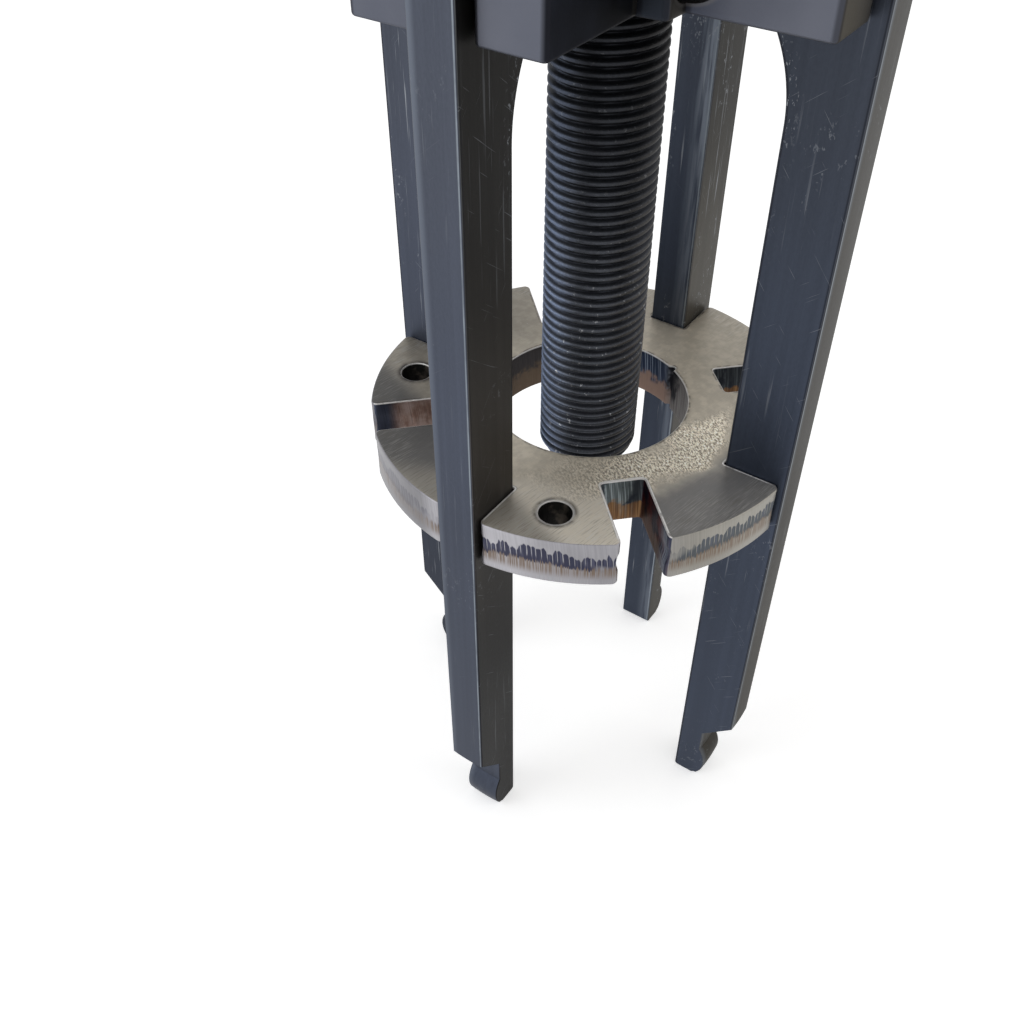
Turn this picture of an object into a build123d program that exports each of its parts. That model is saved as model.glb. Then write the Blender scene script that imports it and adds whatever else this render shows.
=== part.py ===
"""A four-leg bearing puller.

Four flat legs hang on pivot bolts in a forked crosshead. Their toes pass between the
balls of a bearing and hook into its outer race, a slotted spacer ring keeps the legs
apart, and a forcing screw with a swivelling point pushes on the shaft.

Millimetres. The origin lies under the legs' soles on the screw's axis, and +Z points up.
The legs stand on +X (right), +Y (back), -X (left) and -Y (front).
"""

from build123d import *
from math import cos, radians, sqrt, tan
import os

# Legs, evenly spaced round the axis
leg_sides = ["right", "back", "left", "front"]
leg_inner_radius = 36.6
leg_depth = 13.8
leg_thickness = 9.1

# Leg feet: a 45 degree shoulder, then a tongue with a round toe that fits a race groove
shoulder_height = 25.4
tongue_depth = 6.5
toe_height = 5.8
toe_reach = 1.8
toe_round = 8.6
sole_round = 0.8
foot_stock = 0.6

# Leg heads
eye_radius = 11.5
sweep_radius = 29.5
sweep_drop = 18.9
head_blend = 6.0

# Spacer ring
ring_height = 97.0
ring_thickness = 11.0
ring_diameter = 98.8
ring_bore = 44.6
leg_slot_clearance = 0.2
leg_slot_floor_clearance = 0.25
spare_slot_width = 9.5
spare_slot_floor_radius = 30.6
spare_slot_corner = 0.8
slot_mouth_round = 1.3
washout_length = 9.0
washout_depth = 2.0
ring_hole_diameter = 7.0
ring_hole_inset = 8.6
ring_hole_turn = 22.5
start_notch_radius = 0.9
start_notch_angle = 62.0

# Crosshead
crosshead_height = 199.4
crosshead_thickness = 40.0
arm_width = 35.8
arm_end_wall = 3.65
boss_width = 46.6
fork_clearance = 0.8
fork_floor_clearance = 1.4
crosshead_corner_round = 1.2
pivot_rise = 20.0
oil_hole_diameter = 6.0
oil_hole_rise = 4.6

# Forcing screw: the thread is drawn as a plain cylinder of its outside diameter
screw_diameter = 22.0
screw_length = 235.0
screw_end_height = 92.7
screw_taper_length = 4.5
screw_taper_depth = 2.6
screw_running_clearance = 0.05
screw_collar_diameter = 27.0
screw_collar_height = 2.5
screw_hex = 27.0
screw_hex_height = 16.0
centre_drill_diameter = 5.0

# Thrust point, which stays still on the shaft while the screw turns round its stem
point_stem_diameter = 9.0
point_stem_length = 14.0
point_stem_clearance = 0.05
point_flange_diameter = 12.0
point_flange_height = 1.8
point_cone_diameter = 6.4
point_cone_angle = 60.0
point_tip_diameter = 0.8
stem_hole_spare_depth = 1.0

# Pivot bolts, M10
bolt_diameter = 10.0
bolt_clearance = 0.05
bolt_length = 48.0
bolt_head_height = 6.4
bolt_hex = 16.0
nut_height = 8.4
washer_diameter = 18.0
washer_bore = 10.5
washer_thickness = 2.0

# Places that follow from the sizes above
leg_outer_radius = leg_inner_radius + leg_depth
pivot_radius = leg_outer_radius - eye_radius
pivot_height = crosshead_height + pivot_rise
pivot_hole_radius = bolt_diameter / 2 + bolt_clearance
arm_radius = pivot_radius + pivot_hole_radius + arm_end_wall
fork_floor_radius = pivot_radius - eye_radius - fork_floor_clearance
tongue_radius = leg_inner_radius + tongue_depth
toe_radius = tongue_radius + toe_reach
ring_middle = ring_height + ring_thickness / 2
ring_hole_radius = ring_diameter / 2 - ring_hole_inset
leg_spacing = 360 / len(leg_sides)
leg_turns = {side: index * leg_spacing for index, side in enumerate(leg_sides)}
half_turn = leg_spacing / 2


def around_axis(shape, angle):
    """A copy of the shape turned about the puller's axis."""
    return Rot(0, 0, angle) * shape


def corner_near(sketch, x, y):
    """The sketch corner that lies nearest to a point."""
    return sketch.vertices().sort_by_distance(Vector(x, y, 0))[0]


def leg_outline():
    """Side view of a leg blank, radius along x and height along y."""
    head_inner = pivot_radius - eye_radius
    sweep_start = crosshead_height - sweep_drop
    widening = leg_inner_radius - head_inner
    sweep_centre = leg_inner_radius - sweep_radius
    sweep_end = sweep_start + sqrt(sweep_radius**2 - (sweep_radius - widening) ** 2)
    halfway = (sweep_end - sweep_start) / 2
    middle_radius = sweep_centre + sqrt(sweep_radius**2 - halfway**2)
    inner_foot = (leg_inner_radius, 0)
    outer_foot = (toe_radius + foot_stock, 0)
    with BuildSketch() as outline:
        with BuildLine():
            inner_edge = Line(inner_foot, (leg_inner_radius, sweep_start))
            sweep = ThreePointArc(
                inner_edge @ 1,
                (middle_radius, sweep_start + halfway),
                (head_inner, sweep_end),
            )
            head_edge = Line(sweep @ 1, (head_inner, pivot_height))
            eye = ThreePointArc(
                head_edge @ 1,
                (pivot_radius, pivot_height + eye_radius),
                (leg_outer_radius, pivot_height),
            )
            back_edge = Line(eye @ 1, (leg_outer_radius, shoulder_height - foot_stock))
            bevel = Line(back_edge @ 1, (toe_radius + foot_stock, toe_height))
            Polyline(bevel @ 1, outer_foot, inner_foot)
        make_face()
        fillet(corner_near(outline.sketch, head_inner, sweep_end), head_blend)
    return outline.sketch


def foot_envelope():
    """What the feet are turned to about the puller's axis: soles, toes, tongues, shoulders."""
    toe_centre = toe_radius - toe_round
    lip_rise = sqrt(toe_round**2 - (tongue_radius - toe_centre) ** 2)
    sole_radius = toe_centre + sqrt(toe_round**2 - toe_height**2)
    clear_radius = leg_outer_radius + leg_thickness
    bevel_start = shoulder_height - (leg_outer_radius - tongue_radius)
    bevel_end = bevel_start + clear_radius - tongue_radius
    above = pivot_height + 2 * eye_radius
    with BuildSketch(Plane.XZ) as section:
        with BuildLine():
            toe = ThreePointArc(
                (sole_radius, 0),
                (toe_radius, toe_height),
                (tongue_radius, toe_height + lip_rise),
            )
            Polyline(
                toe @ 1,
                (tongue_radius, bevel_start),
                (clear_radius, bevel_end),
                (clear_radius, above),
                (0, above),
                (0, 0),
                toe @ 0,
            )
        make_face()
    return revolve(section.sketch, Axis.Z)


def leg():
    """A leg on the +X side, with its eye, its swept head and its hooked foot."""
    blank = extrude(Plane.XZ * leg_outline(), leg_thickness / 2, both=True)
    body = blank & foot_envelope()
    sole_edges = body.edges().filter_by_position(Axis.Z, -0.01, 0.01).filter_by(Axis.Y)
    body = fillet(sole_edges, sole_round)
    pin_hole = Cylinder(pivot_hole_radius, 2 * leg_thickness)
    return body - Pos(pivot_radius, 0, pivot_height) * Rot(90, 0, 0) * pin_hole


def slot_sketch(width, floor_radius):
    """A slot open at the rim, pointing along x."""
    length = ring_diameter - floor_radius
    return Pos(floor_radius + length / 2, 0) * Rectangle(length, width)


def washout():
    """The hollow that the cutting flame left in a spare slot's walls, widest at the rim."""
    rim = ring_diameter / 2
    narrow = spare_slot_width / 2
    cone = Cone(narrow, narrow + washout_depth, washout_length)
    return Pos(rim - washout_length / 2, 0, ring_middle) * Rot(0, 90, 0) * cone


def spacer_ring():
    """A flame-cut disc with four close slots for the legs and four deeper spare slots."""
    leg_slot_width = leg_thickness + 2 * leg_slot_clearance
    leg_slot_floor = leg_inner_radius - leg_slot_floor_clearance
    leg_slot = slot_sketch(leg_slot_width, leg_slot_floor)
    spare_slot = slot_sketch(spare_slot_width, spare_slot_floor_radius)
    spare_corners = spare_slot.vertices().sort_by(Axis.X)[:2]
    spare_slot = fillet(spare_corners, spare_slot_corner)
    hole = Pos(ring_hole_radius, 0) * Circle(ring_hole_diameter / 2)
    notch = Pos(ring_bore / 2, 0) * Circle(start_notch_radius)
    disc = Circle(ring_diameter / 2) - Circle(ring_bore / 2)
    disc -= around_axis(notch, start_notch_angle)
    for turn in leg_turns.values():
        disc -= around_axis(leg_slot, turn)
        disc -= around_axis(spare_slot, turn + half_turn)
        disc -= around_axis(hole, turn + ring_hole_turn)
    rim = ring_diameter / 2
    mouths = [v for v in disc.vertices() if sqrt(v.X**2 + v.Y**2) > rim - 0.01]
    disc = fillet(mouths, slot_mouth_round)
    body = Pos(0, 0, ring_height) * extrude(disc, ring_thickness)
    for turn in leg_turns.values():
        body -= around_axis(washout(), turn + half_turn)
    return body


def crosshead():
    """A cross of four forked arms round a square boss with the screw's bore."""
    fork_width = leg_thickness + 2 * fork_clearance
    fork_length = arm_radius
    fork = Pos(fork_floor_radius + fork_length / 2, 0) * Rectangle(fork_length, fork_width)
    arm = Pos(arm_radius / 2, 0) * Rectangle(arm_radius, arm_width)
    plan = Rectangle(boss_width, boss_width)
    for turn in leg_turns.values():
        plan += around_axis(arm, turn)
    for turn in leg_turns.values():
        plan -= around_axis(fork, turn)
    tips = [v for v in plan.vertices() if sqrt(v.X**2 + v.Y**2) > arm_radius - 0.01]
    plan = fillet(tips, crosshead_corner_round)
    body = Pos(0, 0, crosshead_height) * extrude(plan, crosshead_thickness)
    bore_radius = screw_diameter / 2 + screw_running_clearance
    middle = crosshead_height + crosshead_thickness / 2
    body -= Pos(0, 0, middle) * Cylinder(bore_radius, crosshead_thickness)
    pin_hole = Cylinder(pivot_hole_radius, 2 * arm_width)
    pin_hole = Pos(pivot_radius, 0, pivot_height) * Rot(90, 0, 0) * pin_hole
    for turn in leg_turns.values():
        body -= around_axis(pin_hole, turn)
    return body - oil_hole()


def oil_hole():
    """A radial hole to the screw's thread, drilled in the corner beside the right arm."""
    corner = Vector(boss_width / 2, -arm_width / 2)
    drill = Cylinder(oil_hole_diameter / 2, corner.length + oil_hole_diameter)
    outwards = Pos((corner.length + oil_hole_diameter) / 2, 0, 0) * Rot(0, 90, 0) * drill
    angle = -Vector(1, 0).get_angle(corner)
    return Pos(0, 0, crosshead_height + oil_hole_rise) * around_axis(outwards, angle)


def hexagon_prism(across_flats, height):
    """A hexagon standing on z = 0, with flats towards +X and -X."""
    corner_radius = across_flats / 2 / cos(radians(30))
    return extrude(RegularPolygon(corner_radius, 6, rotation=30), height)


def forcing_screw():
    """The screw with its tapered end, its collar and its hexagon head."""
    upright = (Align.CENTER, Align.CENTER, Align.MIN)
    radius = screw_diameter / 2
    taper = Cone(radius - screw_taper_depth, radius, screw_taper_length, align=upright)
    shank = Cylinder(radius, screw_length - screw_taper_length, align=upright)
    shank = taper + Pos(0, 0, screw_taper_length) * shank
    collar = Cylinder(screw_collar_diameter / 2, screw_collar_height, align=upright)
    head = hexagon_prism(screw_hex, screw_hex_height)
    centre_radius = centre_drill_diameter / 2
    centre_depth = centre_radius / tan(radians(30))
    centre = Cone(0, centre_radius, centre_depth, align=(Align.CENTER, Align.CENTER, Align.MAX))
    head_base = screw_length + screw_collar_height
    body = shank + Pos(0, 0, screw_length) * collar + Pos(0, 0, head_base) * head
    body -= Pos(0, 0, head_base + screw_hex_height) * centre
    stem_hole_depth = point_stem_length + stem_hole_spare_depth
    body -= Cylinder(
        point_stem_diameter / 2 + point_stem_clearance, stem_hole_depth, align=upright
    )
    return Pos(0, 0, screw_end_height) * body


def thrust_point():
    """The hardened cone that the screw pushes with, its flange against the screw's end."""
    upright = (Align.CENTER, Align.CENTER, Align.MIN)
    hanging = (Align.CENTER, Align.CENTER, Align.MAX)
    cone_radius = point_cone_diameter / 2
    tip_radius = point_tip_diameter / 2
    cone_height = (cone_radius - tip_radius) / tan(radians(point_cone_angle / 2))
    body = Cylinder(point_stem_diameter / 2, point_stem_length, align=upright)
    body += Cylinder(point_flange_diameter / 2, point_flange_height, align=hanging)
    body += Pos(0, 0, -point_flange_height) * Cone(
        tip_radius, cone_radius, cone_height, align=hanging
    )
    return Pos(0, 0, screw_end_height) * body


def on_pivot(shape, start):
    """Lays an upright fastener on the right arm's pivot, its foot at the distance start."""
    along = Pos(pivot_radius, start, pivot_height) * Rot(-90, 0, 0)
    return along * shape


def pivot_fasteners():
    """Bolt, washer and nut of the right arm's pivot, the bolt's head on the -Y side."""
    upright = (Align.CENTER, Align.CENTER, Align.MIN)
    shank = Cylinder(bolt_diameter / 2, bolt_length, align=upright)
    bolt = hexagon_prism(bolt_hex, bolt_head_height) + Pos(0, 0, bolt_head_height) * shank
    washer = Cylinder(washer_diameter / 2, washer_thickness, align=upright)
    washer -= Cylinder(washer_bore / 2, washer_thickness, align=upright)
    nut = hexagon_prism(bolt_hex, nut_height)
    nut -= Cylinder(bolt_diameter / 2 + bolt_clearance, nut_height, align=upright)
    near = -arm_width / 2
    far = arm_width / 2
    return {
        "pivot_bolt": on_pivot(bolt, near - bolt_head_height),
        "pivot_washer": on_pivot(washer, far),
        "pivot_nut": on_pivot(nut, far + washer_thickness),
    }


def save(shape, name):
    """Writes one piece of the puller."""
    shape.label = name
    export_step(shape, f"parts/{name}.step")


os.makedirs("parts", exist_ok=True)
save(crosshead(), "crosshead")
save(forcing_screw(), "forcing_screw")
save(thrust_point(), "thrust_point")
save(spacer_ring(), "spacer_ring")
one_leg = leg()
fasteners = pivot_fasteners()
for side, turn in leg_turns.items():
    save(around_axis(one_leg, turn), f"leg_{side}")
    for name, fastener in fasteners.items():
        save(around_axis(fastener, turn), f"{name}_{side}")
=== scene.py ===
"""The looks of a four-leg bearing puller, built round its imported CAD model.

The pieces are made in the CAD model's frame, in metres: the origin lies on the floor on
the forcing screw's axis, Z points up, and the legs stand on +X, +Y, -X and -Y.
"""

import math
from math import cos, pi, radians, sin, sqrt

import bmesh
import bpy
from bpy.props import FloatProperty, FloatVectorProperty, PointerProperty
from mathutils import Matrix, Vector, geometry, kdtree, noise


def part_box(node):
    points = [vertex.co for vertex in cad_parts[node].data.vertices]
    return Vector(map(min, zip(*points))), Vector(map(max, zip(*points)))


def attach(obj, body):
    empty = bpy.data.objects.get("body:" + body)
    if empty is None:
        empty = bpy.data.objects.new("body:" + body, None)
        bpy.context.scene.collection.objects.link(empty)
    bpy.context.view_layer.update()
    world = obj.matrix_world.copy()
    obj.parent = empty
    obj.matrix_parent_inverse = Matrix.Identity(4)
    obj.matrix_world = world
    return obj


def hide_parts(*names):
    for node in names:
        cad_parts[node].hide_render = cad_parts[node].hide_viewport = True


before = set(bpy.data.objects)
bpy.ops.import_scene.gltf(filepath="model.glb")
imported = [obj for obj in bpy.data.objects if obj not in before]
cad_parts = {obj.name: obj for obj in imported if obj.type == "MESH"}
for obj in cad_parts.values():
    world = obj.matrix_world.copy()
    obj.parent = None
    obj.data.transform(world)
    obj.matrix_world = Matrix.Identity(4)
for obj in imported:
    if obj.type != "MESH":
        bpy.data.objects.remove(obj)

bl_info = {
    "name": "Bearing Puller",
    "version": (1, 0, 0),
    "blender": (4, 5, 0),
    "location": "View3D > Sidebar > Puller",
    "description": "Builds the visible pieces and finishes of a four-leg bearing puller",
    "category": "Object",
}

MM = 0.001
SIDES = {"right": 0, "back": 90, "left": 180, "front": 270}
HOLE_TURNS = (22.5, 112.5, 202.5, 292.5)  # degrees, of the ring's plain holes
SLOT_TURNS = range(0, 360, 45)
NOTCH_TURN = 62  # degrees, of the nick in the ring's bore
BOLT = 5 * MM  # radius of the pivot bolts
GAP = 0.05 * MM  # all round a pin in its hole
FAR = 100.0  # mm, more than any distance that a finish measures
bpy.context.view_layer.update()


def cad_size(node, axis):
    """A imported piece's extent along one axis."""
    low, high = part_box(node)
    return high[axis] - low[axis]


# Sizes and colours


def length(name, description, default):
    """A length property."""
    return FloatProperty(
        name=name, description=description, default=default, unit="LENGTH", precision=5
    )


def colour(name, description, default):
    """A colour property, in linear values."""
    return FloatVectorProperty(
        name=name, description=description, default=default, subtype="COLOR", min=0, max=1
    )


class PullerLegSettings(bpy.types.PropertyGroup):
    """Sizes and colours of the legs."""

    thickness: length("Thickness", "Across a leg, between its side faces", cad_size("leg_right", 1))
    depth: length("Depth", "From a leg's inner face to its outer face", 0.0138)
    eye: length("Eye Radius", "Round head about the pivot", 0.0115)
    edge: length("Edge Rounding", "Radius of the long edges", 0.00035)
    sweep: length("Sweep Radius", "Hollow curve below the head", 0.0295)
    sweep_start: length("Sweep Height", "Where the hollow curve begins", 0.1805)
    tongue: length("Tongue", "From the inner face to the foot's tongue", 0.0065)
    toe: length("Toe", "From the inner face to the toe's furthest point", 0.0083)
    toe_height: length("Toe Height", "Height of the toe's furthest point", 0.0058)
    toe_round: length("Toe Rounding", "Radius that fits the race's groove", 0.0086)
    shoulder: length("Shoulder Height", "Where the slope meets the outer face", 0.0254)
    sole_edge: length("Sole Edge", "Rounding at the sole's two ends", 0.0008)
    # Painted light and shade: these four colours are one black oxide, lit or shaded by the side a face
    # looks to.
    slate_face_light: colour("Slate Colour", "Faces in the window's light", (0.075, 0.087, 0.121))
    navy_face_light: colour("Navy Colour", "Smooth bluish faces", (0.048, 0.059, 0.086))
    taupe_face_light: colour("Taupe Colour", "Faces that catch the warm light", (0.045, 0.0415, 0.035))
    dark_face_shade: colour("Dark Colour", "Shaded faces", (0.036, 0.033, 0.030))
    # Bare steel, and the painted highlight along the lit edge of the narrow faces.
    wear_and_highlight_colour: colour("Wear Colour", "Bare steel at the edges", (0.32, 0.36, 0.40))


class PullerRingSettings(bpy.types.PropertyGroup):
    """Sizes and colours of the spacer ring."""

    diameter: length("Diameter", "Outside diameter", 0.0988)
    bore: length("Bore", "Diameter of the middle hole", 0.0446)
    edge: length("Edge Rounding", "Radius of the flat faces' edges", 0.0002)
    leg_slot_width: length("Leg Slot Width", "Slots that hold the legs", 0.0095)
    leg_slot_floor: length("Leg Slot Floor", "Radius of their floors", 0.03635)
    leg_slot_corner: length("Leg Slot Corner", "Rounding at their floors", 0.0003)
    spare_slot_width: length("Spare Slot Width", "Slots between the legs", 0.0095)
    spare_slot_floor: length("Spare Slot Floor", "Radius of their floors", 0.0306)
    spare_slot_corner: length("Spare Slot Corner", "Rounding at their floors", 0.0008)
    mouth: length("Mouth Rounding", "Radius of the slots' corners at the rim", 0.0013)
    wash_depth: length("Wash-out Depth", "How far the flame ate into a slot's mouth", 0.0007)
    wash_length: length("Wash-out Length", "Over which it fades inwards", 0.009)
    notch: length("Notch", "Radius of the nick in the bore", 0.0009)
    hole: length("Hole Diameter", "Plain holes near the rim", 0.007)
    hole_circle: length("Hole Circle", "Diameter on which the holes lie", 0.0816)
    face_colour: colour("Face Colour", "Smooth ground faces", (0.63, 0.565, 0.455))
    speckle_colour: colour("Speckle Colour", "Hammered patch of the top", (0.90, 0.82, 0.68))
    # Painted highlight colour, for glints on the slot edges and the walls' top edges.
    highlight_colour: colour("Bright Colour", "Polished edges", (0.92, 0.90, 0.87))
    rim_colour: colour("Rim Colour", "Pale bands of the rim", (0.47, 0.46, 0.49))
    scale_colour: colour("Scale Colour", "Dark marks left by the cutting flame", (0.022, 0.024, 0.058))
    rust_colour: colour("Heat Colour", "Brown heat marks", (0.155, 0.105, 0.068))


class PullerScrewSettings(bpy.types.PropertyGroup):
    """Sizes and colours of the forcing screw and its thrust point."""

    diameter: length("Diameter", "Outside diameter of the thread", 0.022)
    pitch: length("Pitch", "Travel for one turn", 0.002)
    depth: length("Thread Depth", "From crest to root", 0.0009)
    length: length("Shank Length", "From the end to the collar", 0.235)
    taper_length: length("Taper Length", "Height of the lower end's taper", 0.0045)
    taper_depth: length("Taper Depth", "How far the taper goes in", 0.0026)
    hexagon: length("Across Flats", "Hexagon head", cad_size("forcing_screw", 0))
    hexagon_height: length("Head Height", "Height of the hexagon", 0.016)
    collar: length("Collar", "Radius of the collar under the head", 0.0135)
    stem: length("Point Stem", "Diameter of the thrust point's stem", 0.009)
    cone: length("Point Cone", "Widest diameter of the thrust point's cone", 0.0064)
    # Painted light: lit crests, shaded roots, and a sheen on the side towards the window.
    crest_highlight_colour: colour("Crest Colour", "Rounded crests", (0.064, 0.069, 0.081))
    sheen_colour: colour("Sheen Colour", "Side that faces the window", (0.265, 0.335, 0.500))
    root_shade_colour: colour("Root Colour", "Oiled roots", (0.024, 0.026, 0.032))


class PullerCrossheadSettings(bpy.types.PropertyGroup):
    """Sizes and colours of the crosshead and its pivot fasteners."""

    arm_width: length("Arm Width", "Across a forked arm", 0.0358)
    boss_width: length("Boss Width", "Across the square boss", 0.0466)
    fork_width: length("Fork Width", "Slot for a leg's head", 0.0107)
    fork_floor: length("Fork Floor", "Radius of a fork's floor", 0.026)
    corner: length("Corner Rounding", "Upright corners", 0.001)
    edge: length("Edge Rounding", "Edges of the top and bottom", 0.0006)
    bore_chamfer: length("Bore Chamfer", "Mouths of the screw's bore", 0.0012)
    oil_hole: length("Oil Hole", "Radius of the oil hole", 0.003)
    oil_height: length("Oil Hole Height", "From the lower face to the oil hole", 0.0046)
    # Painted light: one satin steel, lit cool to the front and left and warm elsewhere.
    cool_face_light: colour("Cool Colour", "Faces to the front and left", (0.140, 0.148, 0.180))
    warm_face_light: colour("Warm Colour", "Faces to the right and back", (0.092, 0.084, 0.068))
    fastener_colour: colour("Fastener Colour", "Bolts, nuts and washers", (0.055, 0.055, 0.062))


class PullerStageSettings(bpy.types.PropertyGroup):
    """Camera, floor and light."""

    lens: FloatProperty(name="Lens", description="Focal length", default=38.09, unit="CAMERA")
    sun: FloatProperty(name="Window Light", description="Power of the large front light", default=7.0)
    sky: FloatProperty(name="Room Light", description="Strength of the light all round", default=0.62)
    glow: FloatProperty(
        name="Floor Glow", description="Lifts the floor to white where it is seen", default=0.475
    )
    floor_colour: colour("Floor Colour", "Pale floor", (0.86, 0.86, 0.86))


SETTINGS = {
    "puller_legs": PullerLegSettings,
    "puller_ring": PullerRingSettings,
    "puller_screw": PullerScrewSettings,
    "puller_crosshead": PullerCrossheadSettings,
    "puller_stage": PullerStageSettings,
}


# Outlines


def arc(centre, radius, start, end, spacing):
    """Points along an arc, its ends included. Angles in radians, either way round."""
    steps = max(2, math.ceil(abs(end - start) * radius / spacing))
    angles = [start + (end - start) * i / steps for i in range(steps + 1)]
    return [Vector(centre) + radius * Vector((cos(a), sin(a))) for a in angles]


def stretch(start, end, spacing):
    """Points from start up to end, the last left out."""
    start, end = Vector(start), Vector(end)
    steps = max(1, round((end - start).length / spacing))
    return [start.lerp(end, i / steps) for i in range(steps)]


def rounded(corners, spacing):
    """A closed outline through corners (x, y, radius), each rounded by its radius."""
    outline = []
    for i, (x, y, radius) in enumerate(corners):
        point = Vector((x, y))
        if radius <= 0:
            outline.append(point)
            continue
        before = Vector(corners[i - 1][:2])
        after = Vector(corners[(i + 1) % len(corners)][:2])
        arriving = (point - before).normalized()
        leaving = (after - point).normalized()
        turn = math.atan2(arriving.x * leaving.y - arriving.y * leaving.x, arriving.dot(leaving))
        inward = Vector((-arriving.y, arriving.x)) * (1 if turn > 0 else -1)
        start = point - arriving * radius * math.tan(abs(turn) / 2)
        centre = start + inward * radius
        begin = math.atan2(start.y - centre.y, start.x - centre.x)
        outline += arc(centre, radius, begin, begin + turn, spacing)
    return outline


def outward(outline):
    """The direction out of the material at each point, which lies left of the outline."""
    count = len(outline)
    along = [outline[(i + 1) % count] - outline[i - 1] for i in range(count)]
    return [Vector((d.y, -d.x)).normalized() for d in along]


def direction_of(point):
    """The angle of a point about the axis, from 0 to a full turn."""
    return math.atan2(point.y, point.x) % (2 * pi)


def encloses(loop, point):
    """Whether a closed loop goes round a point."""
    inside = False
    for i, end in enumerate(loop):
        start = loop[i - 1]
        if (start.y > point.y) != (end.y > point.y):
            share = (point.y - start.y) / (end.y - start.y)
            if point.x < start.x + (end.x - start.x) * share:
                inside = not inside
    return inside


def edge_rows(thickness, edge, middle, steps=3):
    """Heights and insets through a plate, from its bottom face to its top face."""
    turns = [pi / 2 * i / steps for i in range(steps + 1)]
    low = [(edge * (1 - cos(a)), edge * (1 - sin(a))) for a in turns]
    between = [(edge + (thickness - 2 * edge) * i / middle, 0) for i in range(1, middle)]
    high = [(thickness - height, inset) for height, inset in reversed(low)]
    return low + between + high


class Plate:
    """A plate's mesh: outlines, the outer one first, closed by walls and two flat faces."""

    def __init__(self, outlines, rows, fill=None, dent=None, wall_finish=None):
        self.points, self.faces, self.lay, self.finish, self.edge = [], [], [], [], []
        self.rings, self.holes, self.plan_away = [], [], []
        for index, outline in enumerate(outlines):
            self.add_wall(index, outline, rows, dent, wall_finish)
        self.add_faces(rows, fill)

    def add_wall(self, index, outline, rows, dent, wall_finish):
        """One outline's wall, row by row, with its lay along the outline and up it."""
        count, first = len(outline), len(self.points)
        away = outward(outline)
        run = [0.0]
        for i in range(count):
            run.append(run[-1] + (outline[(i + 1) % count] - outline[i]).length)
        for height, inset in rows:
            for i in range(count):
                depth = inset + (dent(index, outline[i], height) if dent else 0)
                place = outline[i] - away[i] * depth
                self.points.append((place.x, place.y, height))
                self.edge.append(0.0)
        for row in range(len(rows) - 1):
            for i in range(count):
                a, b = first + row * count + i, first + row * count + (i + 1) % count
                self.faces.append((a, b, b + count, a + count))
                low, high = rows[row][0], rows[row + 1][0]
                self.lay += [(run[i], low), (run[i + 1], low), (run[i + 1], high), (run[i], high)]
                self.finish.append(wall_finish(index, outline[i]) if wall_finish else 0)
        self.rings.append((first, first + (len(rows) - 1) * count, count))

    def inside_points(self, plan, tree, spacing):
        """Points spread over the flat faces, clear of every outline, and their edge distance."""
        left, right = min(p.x for p in plan), max(p.x for p in plan)
        low, high = min(p.y for p in plan), max(p.y for p in plan)
        line_spacing, clear = spacing * 0.866, spacing * 0.6
        found = []
        for line in range(math.ceil((high - low) / line_spacing)):
            for column in range(math.ceil((right - left) / spacing)):
                x = left + (column + 0.5 * (line % 2)) * spacing
                y = low + line * line_spacing
                near, which, distance = tree.find((x, y, 0))
                if distance < clear:
                    continue
                out = self.plan_away[which]
                if (x - near.x) * out.x + (y - near.y) * out.y < 0:
                    found.append((x, y, distance))
        return found

    def add_faces(self, rows, fill):
        """The flat bottom and top, as triangles between the outlines."""
        plan, edges, tops, bottoms = [], [], [], []
        for bottom, top, count in self.rings:
            base = len(plan)
            loop = [Vector(self.points[top + i][:2]) for i in range(count)]
            if base:
                centre = sum(loop, Vector((0, 0))) / count
                self.holes.append((centre, max((p - centre).length for p in loop), loop))
            plan += loop
            self.plan_away += outward(loop)
            tops += range(top, top + count)
            bottoms += range(bottom, bottom + count)
            edges += [(base + i, base + (i + 1) % count) for i in range(count)]
        if fill:
            tree = kdtree.KDTree(len(plan))
            for i, p in enumerate(plan):
                tree.insert((p.x, p.y, 0), i)
            tree.balance()
            for x, y, distance in self.inside_points(plan, tree, fill):
                plan.append(Vector((x, y)))
                for height, group in ((rows[-1][0], tops), (rows[0][0], bottoms)):
                    group.append(len(self.points))
                    self.points.append((x, y, height))
                    self.edge.append(distance)
        in_mm = [p / MM for p in plan]
        coords, _, triangles, origin, _, _ = geometry.delaunay_2d_cdt(in_mm, edges, [], 1, 1e-5)
        for triangle in triangles:
            corners = [coords[i] * MM for i in triangle]
            middle = sum(corners, Vector((0, 0))) / 3
            if self.in_hole(middle):
                continue
            a, b, c = (origin[i][0] for i in triangle)
            if (corners[1] - corners[0]).cross(corners[2] - corners[0]) < 0:
                a, b = b, a
            for group, order in ((tops, (a, b, c)), (bottoms, (c, b, a))):
                self.faces.append([group[i] for i in order])
                self.lay += [(plan[i].x, plan[i].y) for i in order]
                self.finish.append(0)

    def in_hole(self, point):
        """Whether a point of a flat face lies in one of the openings."""
        for centre, reach, loop in self.holes:
            if (point - centre).length < reach and encloses(loop, point):
                return True
        return False

    def mesh(self, name):
        """The Blender mesh, with its lay as a UV map in millimetres."""
        made = bpy.data.meshes.new(name)
        made.from_pydata(self.points, [], self.faces)
        layer = made.uv_layers.new(name="Lay")
        for corner, (u, v) in zip(layer.uv, self.lay):
            corner.vector = (u / MM, v / MM)
        for face, index in zip(made.polygons, self.finish):
            face.material_index = index
        distance = made.attributes.new("edge_distance", "FLOAT", "POINT")
        distance.data.foreach_set("value", [value / MM for value in self.edge])
        return made


def level_ring(around, radius, height):
    """Points of one level ring about the axis."""
    angles = [2 * pi * i / around for i in range(around)]
    return [(radius * cos(a), radius * sin(a), height) for a in angles]


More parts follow.
